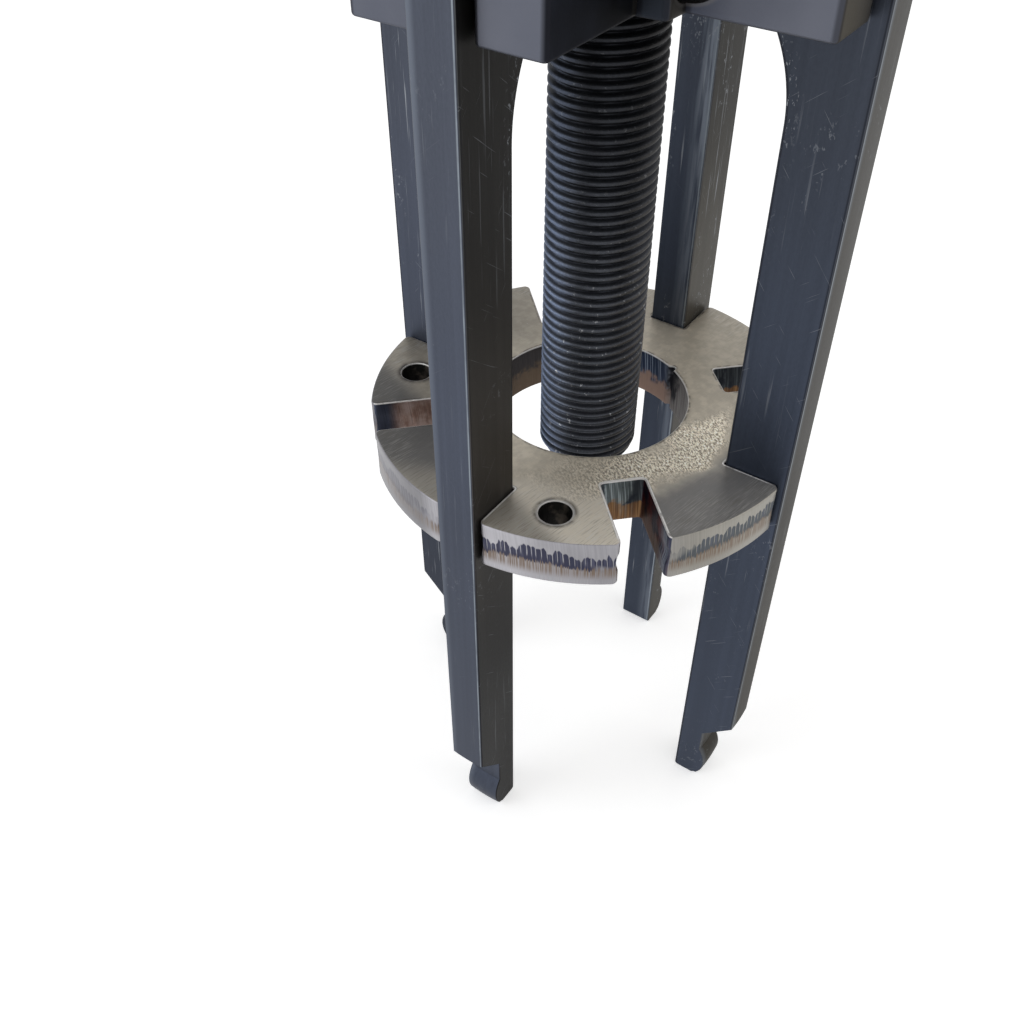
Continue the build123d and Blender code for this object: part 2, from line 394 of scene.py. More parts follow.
def closed_faces(points, around, low, high):
    """Faces of a stack of rings, closed at both ends round points that it adds on the axis."""
    rings, faces = len(points) // around, []
    for i in range(rings - 1):
        for j in range(around):
            a, b = i * around + j, i * around + (j + 1) % around
            faces.append((a, b, b + around, a + around))
    for end, height, flip in ((0, low, False), (rings - 1, high, True)):
        pole = len(points)
        points.append((0, 0, height))
        for j in range(around):
            a, b = end * around + j, end * around + (j + 1) % around
            faces.append((a, b, pole) if flip else (b, a, pole))
    return faces


def lathe(profile, around, weights=None):
    """A closed turned mesh from (radius, height) points, both ends on the axis."""
    points, weight = [], []
    for i, (radius, height) in enumerate(profile[1:-1], 1):
        points += level_ring(around, radius, height)
        weight += [weights[i] if weights else 0.0] * around
    faces = closed_faces(points, around, profile[0][1], profile[-1][1])
    return points, faces, weight + [0.0, 0.0]


def tube(profile, around):
    """A turned mesh from a closed loop of (radius, height) points off the axis."""
    points, faces = [], []
    count = len(profile)
    for radius, height in profile:
        points += level_ring(around, radius, height)
    for i in range(count):
        for j in range(around):
            a, b = i * around + j, i * around + (j + 1) % around
            c = (i + 1) % count * around
            faces.append((a, b, c + (j + 1) % around, c + j))
    return points, faces


def prism_profile(across_flats, rows, around=72):
    """A hexagon's mesh with turned-off corners; rows are (height, turning radius)."""
    points = []
    for height, limit in rows:
        for j in range(around):
            angle = 2 * pi * j / around
            from_flat = (angle + pi / 6) % (pi / 3) - pi / 6
            radius = min(across_flats / 2 / cos(from_flat), limit)
            points.append((radius * cos(angle), radius * sin(angle), height))
    faces = closed_faces(points, around, rows[0][0], rows[-1][0])
    return points, faces


def hexagon_edge(across_flats):
    """A hexagon's corner radius, its land's radius, and the height of the turned-off corners."""
    corner, land = across_flats / 2 / cos(radians(30)), across_flats / 2 * 0.95
    return corner, land, (corner - land) * math.tan(radians(30))


# Meshes into pieces


def new_object(name, mesh):
    """An object at the origin, with its place in its mesh."""
    made = bpy.data.objects.new(name, mesh)
    bpy.context.scene.collection.objects.link(made)
    return made


def mesh_from(name, points, faces, matrix=Matrix()):
    """A mesh of points and faces, placed by a matrix."""
    made = bpy.data.meshes.new(name)
    made.from_pydata([matrix @ Vector(p) for p in points], [], faces)
    return made


def harden(obj, angle=32):
    """Smooth shading that keeps flat faces flat and edges steeper than the angle sharp."""
    obj.data.shade_smooth()
    obj.data.set_sharp_from_angle(angle=radians(angle))
    weighted = obj.modifiers.new("Flat faces", "WEIGHTED_NORMAL")
    weighted.keep_sharp = True
    settle(obj)


def settle(obj):
    """Turns the object's modifiers into its mesh."""
    depsgraph = bpy.context.evaluated_depsgraph_get()
    made = bpy.data.meshes.new_from_object(obj.evaluated_get(depsgraph))
    obj.modifiers.clear()
    old = obj.data
    obj.data = made
    bpy.data.meshes.remove(old)


def merge_doubles(obj):
    """Merges points that lie on one another."""
    merged = bmesh.new()
    merged.from_mesh(obj.data)
    bmesh.ops.remove_doubles(merged, verts=merged.verts, dist=0.01 * MM)
    merged.to_mesh(obj.data)
    merged.free()


def turned(angle):
    """A turn about the puller's axis, in degrees."""
    return Matrix.Rotation(radians(angle), 4, "Z")


# Geometry Nodes


class Tree:
    """Builds one Geometry Nodes tree with named inputs."""

    def __init__(self, name, inputs):
        self.tree = bpy.data.node_groups.new(name, "GeometryNodeTree")
        face = self.tree.interface
        face.new_socket("Geometry", in_out="INPUT", socket_type="NodeSocketGeometry")
        face.new_socket("Geometry", in_out="OUTPUT", socket_type="NodeSocketGeometry")
        for label, kind in inputs:
            face.new_socket(label, in_out="INPUT", socket_type=kind)
        self.inputs = self.tree.nodes.new("NodeGroupInput").outputs
        self.result = self.tree.nodes.new("NodeGroupOutput").inputs[0]

    def node(self, kind, operation=None, **links):
        """A node whose inputs are linked or set by position, as in i0, i1."""
        made = self.tree.nodes.new(kind)
        if operation:
            made.operation = operation
        for key, value in links.items():
            self.put(made.inputs[int(key[1:])], value)
        return made

    def put(self, socket, value):
        """Links a socket to another, or sets its value."""
        if isinstance(value, bpy.types.NodeSocket):
            self.tree.links.new(value, socket)
        else:
            socket.default_value = value

    def math(self, operation, a, b=0.0):
        """The result of a Math node."""
        return self.node("ShaderNodeMath", operation, i0=a, i1=b).outputs[0]

    def finish(self, shape):
        """Ends the tree in Realize Instances and Set Material."""
        real = self.node("GeometryNodeRealizeInstances", i0=shape).outputs[0]
        painted = self.node("GeometryNodeSetMaterial", i0=real, i2=self.inputs["Material"])
        self.tree.links.new(painted.outputs[0], self.result)
        return self.tree


def thread_tree():
    """Cuts a right-handed thread into an upright turned shape where its weight says."""
    made = Tree(
        "Thread",
        [
            ("Pitch", "NodeSocketFloat"),
            ("Depth", "NodeSocketFloat"),
            ("Material", "NodeSocketMaterial"),
        ],
    )
    position = made.node("GeometryNodeInputPosition").outputs[0]
    parts = made.node("ShaderNodeSeparateXYZ", i0=position).outputs
    turns = made.math("DIVIDE", made.math("ARCTAN2", parts[1], parts[0]), 2 * pi)
    height = made.math("DIVIDE", parts[2], made.inputs["Pitch"])
    phase = made.math("FRACT", made.math("SUBTRACT", height, turns))
    crest = made.math("ABSOLUTE", made.math("SUBTRACT", made.math("MULTIPLY", phase, 2), 1))
    flank = made.node("ShaderNodeMapRange", i0=crest, i1=0.0, i2=0.8, i3=1.0, i4=0.0)
    flank.interpolation_type = "SMOOTHSTEP"
    weight = made.node("GeometryNodeInputNamedAttribute", i0="thread")
    depth = made.math("MULTIPLY", flank.outputs[0], made.inputs["Depth"])
    depth = made.math("MULTIPLY", depth, weight.outputs[0])
    flat = made.node("ShaderNodeCombineXYZ", i0=parts[0], i1=parts[1]).outputs[0]
    inward = made.node("ShaderNodeVectorMath", "NORMALIZE", i0=flat).outputs[0]
    offset = made.node("ShaderNodeVectorMath", "SCALE", i0=inward)
    made.put(offset.inputs["Scale"], made.math("MULTIPLY", depth, -1))
    moved = made.node("GeometryNodeSetPosition", i0=made.inputs[0])
    made.put(moved.inputs["Offset"], offset.outputs[0])
    return made.finish(moved.outputs[0])


def array_tree():
    """Repeats a shape round the puller's axis."""
    made = Tree(
        "Round the Axis",
        [("Count", "NodeSocketInt"), ("Material", "NodeSocketMaterial")],
    )
    points = made.node("GeometryNodePoints")
    made.put(points.inputs["Count"], made.inputs["Count"])
    index = made.node("GeometryNodeInputIndex").outputs[0]
    step = made.math("DIVIDE", 2 * pi, made.inputs["Count"])
    angle = made.math("MULTIPLY", index, step)
    rotation = made.node("ShaderNodeCombineXYZ", i2=angle).outputs[0]
    copies = made.node("GeometryNodeInstanceOnPoints")
    made.put(copies.inputs["Points"], points.outputs[0])
    made.put(copies.inputs["Instance"], made.inputs[0])
    made.put(copies.inputs["Rotation"], rotation)
    return made.finish(copies.outputs[0])


def run_tree(obj, tree, **values):
    """Runs a tree on an object and keeps the plain mesh that comes out."""
    modifier = obj.modifiers.new(tree.name, "NODES")
    modifier.node_group = tree
    for item in tree.interface.items_tree:
        if item.in_out == "INPUT" and item.name in values:
            modifier[item.identifier] = values[item.name]
    settle(obj)


def cut_thread(obj, weight, pitch, depth, material):
    """Cuts a thread into an upright turned object where the weight says."""
    stored = obj.data.attributes.new("thread", "FLOAT", "POINT")
    stored.data.foreach_set("value", weight)
    run_tree(obj, thread_tree(), Pitch=pitch, Depth=depth, Material=material)


# Materials


class Finish:
    """Builds one procedural material on a Principled shader."""

    def __init__(self, name):
        self.material = bpy.data.materials.new(name)
        self.material.use_nodes = True
        self.tree = self.material.node_tree
        self.shader = self.tree.nodes["Principled BSDF"]
        self.coordinates = self.tree.nodes.new("ShaderNodeTexCoord").outputs

    def put(self, socket, value):
        """Links a socket to another, or sets its value."""
        if isinstance(value, bpy.types.NodeSocket):
            self.tree.links.new(value, socket)
        elif socket.type == "RGBA" and len(value) == 3:
            socket.default_value = (*value, 1.0)
        else:
            socket.default_value = value

    def math(self, operation, a, b=0.0):
        """The result of a Math node."""
        made = self.tree.nodes.new("ShaderNodeMath")
        made.operation = operation
        self.put(made.inputs[0], a)
        self.put(made.inputs[1], b)
        return made.outputs[0]

    def times(self, first, *others):
        """The product of the values."""
        for other in others:
            first = self.math("MULTIPLY", first, other)
        return first

    def plus(self, first, *others):
        """The sum of the values."""
        for other in others:
            first = self.math("ADD", first, other)
        return first

    def most(self, first, *others):
        """The largest of the values."""
        for other in others:
            first = self.math("MAXIMUM", first, other)
        return first

    def minus(self, first, second):
        """The difference of two values."""
        return self.math("SUBTRACT", first, second)

    def unsigned(self, value):
        """The value without its sign."""
        return self.math("ABSOLUTE", value)

    def length_of(self, first, second):
        """The length of a vector with two parts."""
        return self.math("SQRT", self.plus(self.times(first, first), self.times(second, second)))

    def step(self, value, low, high, out_low=0.0, out_high=1.0):
        """A smooth step from out_low to out_high as the value goes from low to high."""
        made = self.tree.nodes.new("ShaderNodeMapRange")
        made.interpolation_type = "SMOOTHSTEP"
        for i, entry in enumerate((value, low, high, out_low, out_high)):
            self.put(made.inputs[i], entry)
        return made.outputs[0]

    def vary(self, noise, low, high):
        """A value from low to high as a noise goes through its usual range."""
        return self.step(noise, 0.3, 0.7, low, high)

    def mix(self, share, a, b):
        """A blend of two colours."""
        made = self.tree.nodes.new("ShaderNodeMix")
        made.data_type = "RGBA"
        self.put(made.inputs[0], share)
        self.put(made.inputs[6], a)
        self.put(made.inputs[7], b)
        return made.outputs[2]

    def scaled(self, colour, factor):
        """A colour made lighter or darker."""
        made = self.tree.nodes.new("ShaderNodeVectorMath")
        made.operation = "SCALE"
        self.put(made.inputs[0], colour)
        self.put(made.inputs["Scale"], factor)
        return made.outputs[0]

    def place(self, turn=0.0, scale=(1, 1, 1), move=(0, 0, 0), source="Object"):
        """Coordinates turned about Z by the angle in degrees, moved and scaled."""
        made = self.tree.nodes.new("ShaderNodeMapping")
        self.tree.links.new(self.coordinates[source], made.inputs[0])
        made.inputs["Rotation"].default_value[2] = radians(turn)
        made.inputs["Scale"].default_value = scale
        made.inputs["Location"].default_value = move
        return made.outputs[0]

    def joined(self, *parts):
        """A vector of three parts."""
        made = self.tree.nodes.new("ShaderNodeCombineXYZ")
        for socket, part in zip(made.inputs, parts):
            self.put(socket, part)
        return made.outputs[0]

    def split(self, vector):
        """The three parts of a vector."""
        made = self.tree.nodes.new("ShaderNodeSeparateXYZ")
        self.put(made.inputs[0], vector)
        return made.outputs

    def in_mm(self, turn=0.0):
        """The three coordinates in mm, turned about Z by the angle in degrees."""
        return self.split(self.place(turn, (1 / MM,) * 3))

    def plan(self):
        """How far east, north and away from the axis a point lies, in mm."""
        east, north, _ = self.in_mm()
        return east, north, self.length_of(east, north)

    def towards(self, turn):
        """How far a point lies in a direction in plan, in mm. The direction is in degrees."""
        east, north, _ = self.plan()
        return self.plus(self.times(east, cos(radians(turn))), self.times(north, sin(radians(turn))))

    def drawn(self, turn, along, across, seed):
        """Noise drawn out in a direction in plan, with its spots per mm along and across."""
        forward = self.times(self.towards(turn), along)
        aside = self.times(self.towards(turn + 90), across)
        return self.noise(self.joined(forward, aside, seed), 2.0)

    def spots(self, per_metre, detail, rough=0.55):
        """Noise with that many spots per metre, alike in every direction."""
        return self.noise(self.place(scale=(per_metre,) * 3), detail, rough)

    def noise(self, vector, detail, rough=0.55):
        """Noise from about 0 to 1."""
        made = self.tree.nodes.new("ShaderNodeTexNoise")
        self.put(made.inputs["Vector"], vector)
        made.inputs["Scale"].default_value = 1.0
        made.inputs["Detail"].default_value = detail
        made.inputs["Roughness"].default_value = rough
        return made.outputs[0]

    def attribute(self, name):
        """A number stored on the mesh."""
        made = self.tree.nodes.new("ShaderNodeAttribute")
        made.attribute_name = name
        return made.outputs["Fac"]

    def facing(self, direction):
        """How far the surface faces a direction of the piece's own frame."""
        made = self.tree.nodes.new("ShaderNodeVectorMath")
        made.operation = "DOT_PRODUCT"
        self.tree.links.new(self.coordinates["Normal"], made.inputs[0])
        made.inputs[1].default_value = direction
        return made.outputs["Value"]

    def bump(self, height, distance, strength):
        """A bump of that height in metres."""
        made = self.tree.nodes.new("ShaderNodeBump")
        made.inputs["Strength"].default_value = strength
        made.inputs["Distance"].default_value = distance
        self.put(made.inputs["Height"], height)
        return made.outputs[0]

    def done(self, colour, rough, metal, normal=None, specular=0.5, rim_light=1.0):
        """Sets the shader's inputs and returns the material."""
        self.put(self.shader.inputs["Base Color"], colour)
        self.put(self.shader.inputs["Roughness"], rough)
        self.put(self.shader.inputs["Metallic"], metal)
        self.shader.inputs["Specular IOR Level"].default_value = specular
        self.shader.inputs["Specular Tint"].default_value = (rim_light, rim_light, rim_light, 1.0)
        if normal is not None:
            self.put(self.shader.inputs["Normal"], normal)
        return self.material


def scratches(made, first, second, seed, density):
    """Fine straight scratches in two directions across a face that both coordinates cross."""
    marks = 0.0
    for slope in (0.8, -1.3):
        along = made.plus(first, made.times(second, slope))
        across = made.plus(second, made.times(first, -slope))
        vector = made.joined(made.times(along, 0.07), made.times(across, 2.6), seed + slope)
        lines = made.noise(vector, 1.0)
        marks = made.most(marks, made.step(lines, density, density + 0.04))
    return marks


def leg_finish(side, turn, legs):
    """Satin black oxide with rubbed edges and painted light and shade, in the frame of one leg."""
    made = Finish(f"black_oxide_{side}")
    radius, across, height = made.in_mm(-turn)
    low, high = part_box("leg_right")
    outer, half = high.x / MM, legs.thickness / 2 / MM
    inner, sweep = outer - legs.depth / MM, legs.sweep / MM
    rise = made.most(made.plus(height, -legs.sweep_start / MM), 0.0)
    reach = made.plus(sweep * sweep, made.times(rise, rise, -1.0))
    bound = made.most(made.plus(made.math("SQRT", made.most(reach, 0.0)), inner - sweep), low.x / MM)
    from_side = made.minus(half, made.unsigned(across))
    from_inner = made.minus(radius, bound)
    edge = made.most(from_side, made.math("MINIMUM", made.minus(outer, radius), from_inner))

    # Painted light and shade: lit or shaded face colours, and light by height, for each side.
    narrow_face_light, wide_face_light, low_light_share, ring_light_share, top_light_share, wear, near_side = {
        "front": (legs.slate_face_light, legs.dark_face_shade, 0.22, 1.65, 0.33, 0.15, 1),
        "right": (legs.taupe_face_light, legs.navy_face_light, 1.0, 1.15, 0.90, 0.25, -1),
        "back": (legs.navy_face_light, legs.taupe_face_light, 1.2, 1.65, 0.34, 0.60, -1),
        "left": (legs.dark_face_shade, legs.slate_face_light, 0.55, 0.80, 1.25, 0.80, 1),
    }[side]
    along_x = made.step(made.unsigned(made.facing((1, 0, 0))), 0.35, 0.75)
    narrow = along_x if side in ("right", "left") else made.minus(1.0, along_x)
    wide = made.minus(1.0, narrow)
    near = made.step(made.times(across, near_side), -1.0, 1.0)
    seed = (turn * 0.7, turn * 0.3, turn)

    def grain_of(scale, detail=2.0, rough=0.55):
        """Noise in the leg's own frame, with its spots per metre across and along the leg."""
        return made.noise(made.place(-turn, scale, seed), detail, rough)

    cloud = grain_of((30, 30, 9))
    band = grain_of((620, 620, 7))
    grain = grain_of((2600, 2600, 900))
    # Painted light and shade by height: lighter or darker low down, at the ring and near the top.
    light_by_height = made.step(height, 55, 118, low_light_share, ring_light_share)
    light_by_height = made.times(light_by_height, made.step(height, 115, 172, 1.0, top_light_share))
    narrow_light = made.step(height, 100, 200, 0.88, 1.22)
    light = made.plus(made.times(light_by_height, wide), made.times(narrow_light, narrow))
    light = made.times(
        light,
        made.plus(
            made.vary(cloud, 0.86, 1.10),
            made.step(band, 0.25, 0.75, -0.07, 0.07),
            made.vary(grain, -0.04, 0.04),
        ),
    )
    tone = made.mix(narrow, wide_face_light, narrow_face_light)
    # Towards the top the painted face tones fade into one grey.
    tone = made.mix(made.step(height, 120, 195, 0, 0.30), tone, (0.048, 0.048, 0.047))
    tone = made.scaled(tone, light)

    # Painted sheen: a pale band along one side of the narrow face, stronger towards the top.
    sheen_start, sheen_share, ragged = -2.6, 0.42, 1.0
    if side == "back":
        sheen_start, sheen_share = 0.5, 0.75
        ragged = made.step(grain_of((900, 900, 60), 3.0), 0.32, 0.60, 0.2, 1.9)
    sheen_rise = made.step(height, 100, 200, 0.25, sheen_share)
    soft = made.times(made.step(across, sheen_start, -4.2), narrow, ragged, sheen_rise)
    tone = made.mix(soft, tone, (0.22, 0.25, 0.30))
    patchy = made.step(grain_of((150, 150, 60), 4.0, 0.7), 0.3, 0.62, 0.25, 0.75)
    # Wear and painted highlight: a bright line by the lit edge, rubbed corners on wide faces.
    line = made.times(made.step(edge, 0.28, 0.40), made.step(edge, 0.72, 0.52), narrow, near, patchy)
    corner = made.times(made.step(edge, 0.26, 0.08), wide, patchy, 0.35)
    tone = made.mix(made.most(line, corner), tone, legs.wear_and_highlight_colour)
    # Painted shade: dark lines along the long edges, beside the bright line.
    edge_shade_line = made.times(made.step(edge, 0.30, 0.20), narrow, near)
    wide_edge_shade_line = made.times(made.step(edge, 0.24, 0.36), made.step(edge, 0.66, 0.46), wide)
    tone = made.mix(made.times(made.most(edge_shade_line, wide_edge_shade_line), 0.65), tone, (0.012, 0.012, 0.016))

    pits = made.times(
        made.step(grain_of((1000, 1000, 620), 3.0, 0.75), 0.60, 0.67),
        made.step(grain_of((75, 75, 40)), 0.54, 0.66, 0.0, wear),
    )
    rubs = made.times(
        made.step(grain_of((1500, 1500, 34), 3.0, 0.6), 0.60, 0.68),
        made.step(grain_of((60, 60, 30)), 0.48, 0.60, 0.0, wear),
    )
    fine = made.times(
        scratches(made, made.plus(radius, across), height, turn * 0.013, 0.742),
        made.plus(made.times(wide, 0.22), 0.05),
    )
    chips = made.times(
        made.step(grain_of((1300, 1300, 700), 3.0, 0.7), 0.58, 0.66),
        made.step(from_inner, 3.6, 0.6),
        made.step(height, 168, 186),
        made.step(height, 212, 198),
        0.7,
    )
    tone = made.mix(made.most(pits, rubs, fine, chips), tone, (0.34, 0.36, 0.39))
    rough = made.vary(cloud, 0.36, 0.48)
    rough = made.plus(rough, made.times(grain, 0.10), made.times(line, -0.08))
    relief = made.plus(made.times(grain, 0.6), made.times(band, 0.7), made.times(rubs, -0.8))
    return made.done(tone, rough, 0.85, made.bump(relief, 0.00002, 0.6), rim_light=0.75)


def ring_face_finish(ring):
    """Ground top and bottom, warm and smooth, with a hammered patch towards the front right."""
    made = Finish("ground_steel")
    east, _, away = made.plan()
    edge = made.attribute("edge_distance")
    cloud = made.spots(75, 3.0)
    broad = made.noise(made.place(scale=(28, 28, 28), move=(4, 1, 0)), 2.0)
    mottle = made.spots(420, 4.0, 0.6)
    speck = made.spots(2000, 4.0, 0.8)
    speck = made.plus(made.times(speck, 0.55), made.times(made.drawn(-40, 1.1, 2.4, 5.0), 0.45))
    hatch = made.drawn(-21, 0.35, 2.4, 3.0)
    brushed = made.drawn(80, 0.25, 3.6, 8.0)
    drift = made.vary(cloud, -3.5, 3.5)
    hammered = made.times(
        made.step(made.plus(away, drift), 36, 32),
        made.step(made.plus(made.towards(-32), drift), 16, 24),
        made.step(made.plus(east, drift), 9, 26, 0.22, 1.0),
    )
    past_slot = made.step(made.towards(45), -3, 3)
    right_reach = made.plus(made.towards(-22), made.times(drift, 0.6))
    right_sector = made.times(made.step(right_reach, 32, 40), past_slot)
    front_sector = made.times(made.step(made.towards(-66), 29, 36), made.minus(1.0, past_slot))
    left_sector = made.step(made.towards(-112), 30, 37)
    # Painted light and shade: darker to the left, the sides and the back; lighter on the hammered patch.
    light = made.step(made.plus(east, made.vary(broad, -8, 8)), -40, 4, 0.48, 1.0)
    light = made.times(
        light,
        made.step(left_sector, 0, 1, 1.0, 0.50),
        made.step(right_sector, 0, 1, 1.0, 0.50),
        made.step(made.towards(60), 18, 34, 1.0, 0.76),
        made.step(hammered, 0, 1, 1.0, 1.18),
    )
    shaded = made.scaled(ring.face_colour, 0.82)
    smooth = made.mix(made.step(mottle, 0.38, 0.66), shaded, ring.face_colour)
    # Painted reflection and shade: darker copies for the side sectors, a lighter one in front.
    smooth = made.mix(made.times(right_sector, 0.8), smooth, (0.40, 0.40, 0.41))
    smooth = made.mix(made.times(left_sector, 0.8), smooth, (0.20, 0.20, 0.21))
    smooth = made.mix(made.times(front_sector, 0.75), smooth, (0.84, 0.77, 0.65))
    near_rim = made.step(made.plus(away, drift), 40, 47, 0.12, 0.70)
    near_rim = made.most(near_rim, made.times(front_sector, 0.5))
    smooth = made.mix(made.times(made.step(brushed, 0.46, 0.72), near_rim), smooth, (0.74, 0.72, 0.67))
    furrow = made.times(made.step(brushed, 0.48, 0.32), near_rim, 0.8)
    smooth = made.mix(furrow, smooth, (0.36, 0.33, 0.28))
    stray = made.times(made.step(speck, 0.60, 0.64), made.step(cloud, 0.50, 0.62, 0, 0.8))
    smooth = made.mix(stray, smooth, (0.88, 0.85, 0.78))
    beaten = made.mix(made.step(speck, 0.44, 0.53), (0.27, 0.225, 0.165), ring.speckle_colour)
    # Painted glints: the near-white flecks of the hammered patch.
    beaten = made.mix(made.step(speck, 0.54, 0.60), beaten, (1.0, 0.98, 0.91))
    beaten = made.mix(made.step(hatch, 0.58, 0.68, 0, 0.7), beaten, (0.17, 0.145, 0.11))
    tone = made.scaled(made.mix(hammered, smooth, beaten), light)
    smudge = made.spots(520, 2.0)
    rim = ring.diameter / 2 / MM
    inside = made.step(away, rim - 0.6, rim - 2.4)
    outline = made.times(made.step(edge, 0.60, 0.25), made.step(smudge, 0.38, 0.62, 0.0, 0.75))
    uneven = made.step(smudge, 0.3, 0.6, 0.35, 0.95)
    halo = made.times(made.step(from_holes(made, ring), 1.6, 0.3), uneven)
    outline = made.times(made.most(outline, halo), inside)
    tone = made.mix(outline, tone, (0.055, 0.046, 0.038))
    # Painted highlight: a broken bright glint along the edges of the front right spare slot.
    in_spare_slot = made.step(made.towards(-45), 26, 29)
    clear_of_holes = made.step(from_holes(made, ring), 0.4, 1.2, 0.35, 1.0)
    broken = made.step(smudge, 0.34, 0.50, 0.4, 1.0)
    glint = made.times(made.step(edge, 0.46, 0.18), inside, broken, in_spare_slot, clear_of_holes)
    tone = made.mix(glint, tone, ring.highlight_colour)
    rough = made.plus(made.step(hammered, 0, 1, 0.34, 0.46), made.times(speck, 0.12))
    relief = made.plus(made.times(speck, made.step(hammered, 0, 1, 0.06, 1.0)), made.times(brushed, 0.12))
    return made.done(tone, rough, made.step(hammered, 0, 1, 0.22, 0.60), made.bump(relief, 0.00013, 0.9))


def from_holes(made, ring):
    """How far a point of the ring lies outside the nearest of its four plain holes, in mm."""
    east, north, _ = made.in_mm()
    circle, nearest = ring.hole_circle / 2 / MM, FAR
    for turn in HOLE_TURNS:
        x, y = circle * cos(radians(turn)), circle * sin(radians(turn))
        distance = made.length_of(made.minus(east, x), made.minus(north, y))
        nearest = made.math("MINIMUM", nearest, distance)
    return made.minus(nearest, ring.hole / 2 / MM)


def streaks(made, along, seed):
    """Near upright drag lines along a flame-cut wall, trailing back as they go down."""
    run, height, _ = made.split(made.place(source="UV"))
    moved = made.plus(run, made.times(height, height, 0.007))
    return made.noise(made.joined(made.times(moved, along), made.times(height, 0.06), seed), 2.0, 0.5)


def ring_rim_finish(ring, thickness):
    """Flame-cut rim: a pale top band, a comb of dark strokes, brown streaks and a pale foot."""
    made = Finish("flame_cut_rim")
    run, height, _ = made.split(made.place(source="UV"))
    east, _, _ = made.plan()
    level = made.math("DIVIDE", height, thickness / MM)
    fine = streaks(made, 3.4, 9.0)
    reach = streaks(made, 0.55, 17.0)
    wide = streaks(made, 0.06, 29.0)
    warm = made.step(made.towards(27), 8, 26)
    far_left = made.step(east, -4, -13)
    pale = made.mix(warm, ring.rim_colour, (0.42, 0.40, 0.355))
    uneven = made.plus(made.vary(wide, 0.86, 1.10), made.vary(fine, -0.07, 0.07))
    shade = made.times(made.step(far_left, 0, 1, 1.0, 0.50), made.step(east, 6, 20, 1.0, 0.72))
    pale = made.scaled(made.scaled(pale, uneven), shade)
    lean = made.times(height, height, 0.005)
    jitter = made.times(streaks(made, 0.45, 5.0), 1.1)
    comb = made.math("FRACT", made.plus(made.times(run, 0.92), lean, jitter))
    gap = made.unsigned(made.plus(made.times(comb, 2.0), -1.0))
    wave = made.vary(wide, -0.06, 0.06)
    top_line = made.plus(0.79, wave, made.vary(reach, -0.12, 0.04), made.times(gap, gap, -0.06))
    low_line = made.plus(0.43, wave, made.vary(fine, -0.05, 0.05))
    stroke = made.times(
        made.step(gap, 0.93, 0.80),
        made.step(level, top_line, made.plus(top_line, -0.04)),
        made.step(level, made.plus(low_line, -0.03), made.plus(low_line, 0.03)),
    )
    solid = made.times(
        made.step(level, made.plus(low_line, 0.16), made.plus(low_line, 0.05)),
        made.step(level, made.plus(low_line, -0.05), low_line),
        made.step(reach, 0.40, 0.55, 0.3, 0.95),
    )
    strength = made.times(made.step(far_left, 0, 1, 0.95, 0.30), made.step(wide, 0.34, 0.40, 0.15, 1.0))
    stroke = made.times(made.most(stroke, solid), strength)
    heat = made.times(
        made.step(level, made.plus(low_line, 0.10), made.plus(low_line, -0.01)),
        made.step(level, 0.08, 0.30),
        made.step(fine, 0.40, 0.58, 0.30, 1.0),
        made.step(far_left, 0, 1, 0.88, 0.45),
    )
    tone = made.mix(heat, pale, ring.rust_colour)
    dark = made.mix(warm, ring.scale_colour, (0.070, 0.082, 0.092))
    dark = made.mix(made.step(fine, 0.52, 0.68, 0, 0.35), dark, (0.15, 0.16, 0.24))
    tone = made.mix(stroke, tone, dark)
    rough = made.plus(made.step(stroke, 0, 1, 0.32, 0.50), made.times(fine, 0.10))
    relief = made.plus(made.times(fine, 0.3), made.times(stroke, -0.6))
    return made.done(tone, rough, 0.7, made.bump(relief, 0.00012, 0.7))


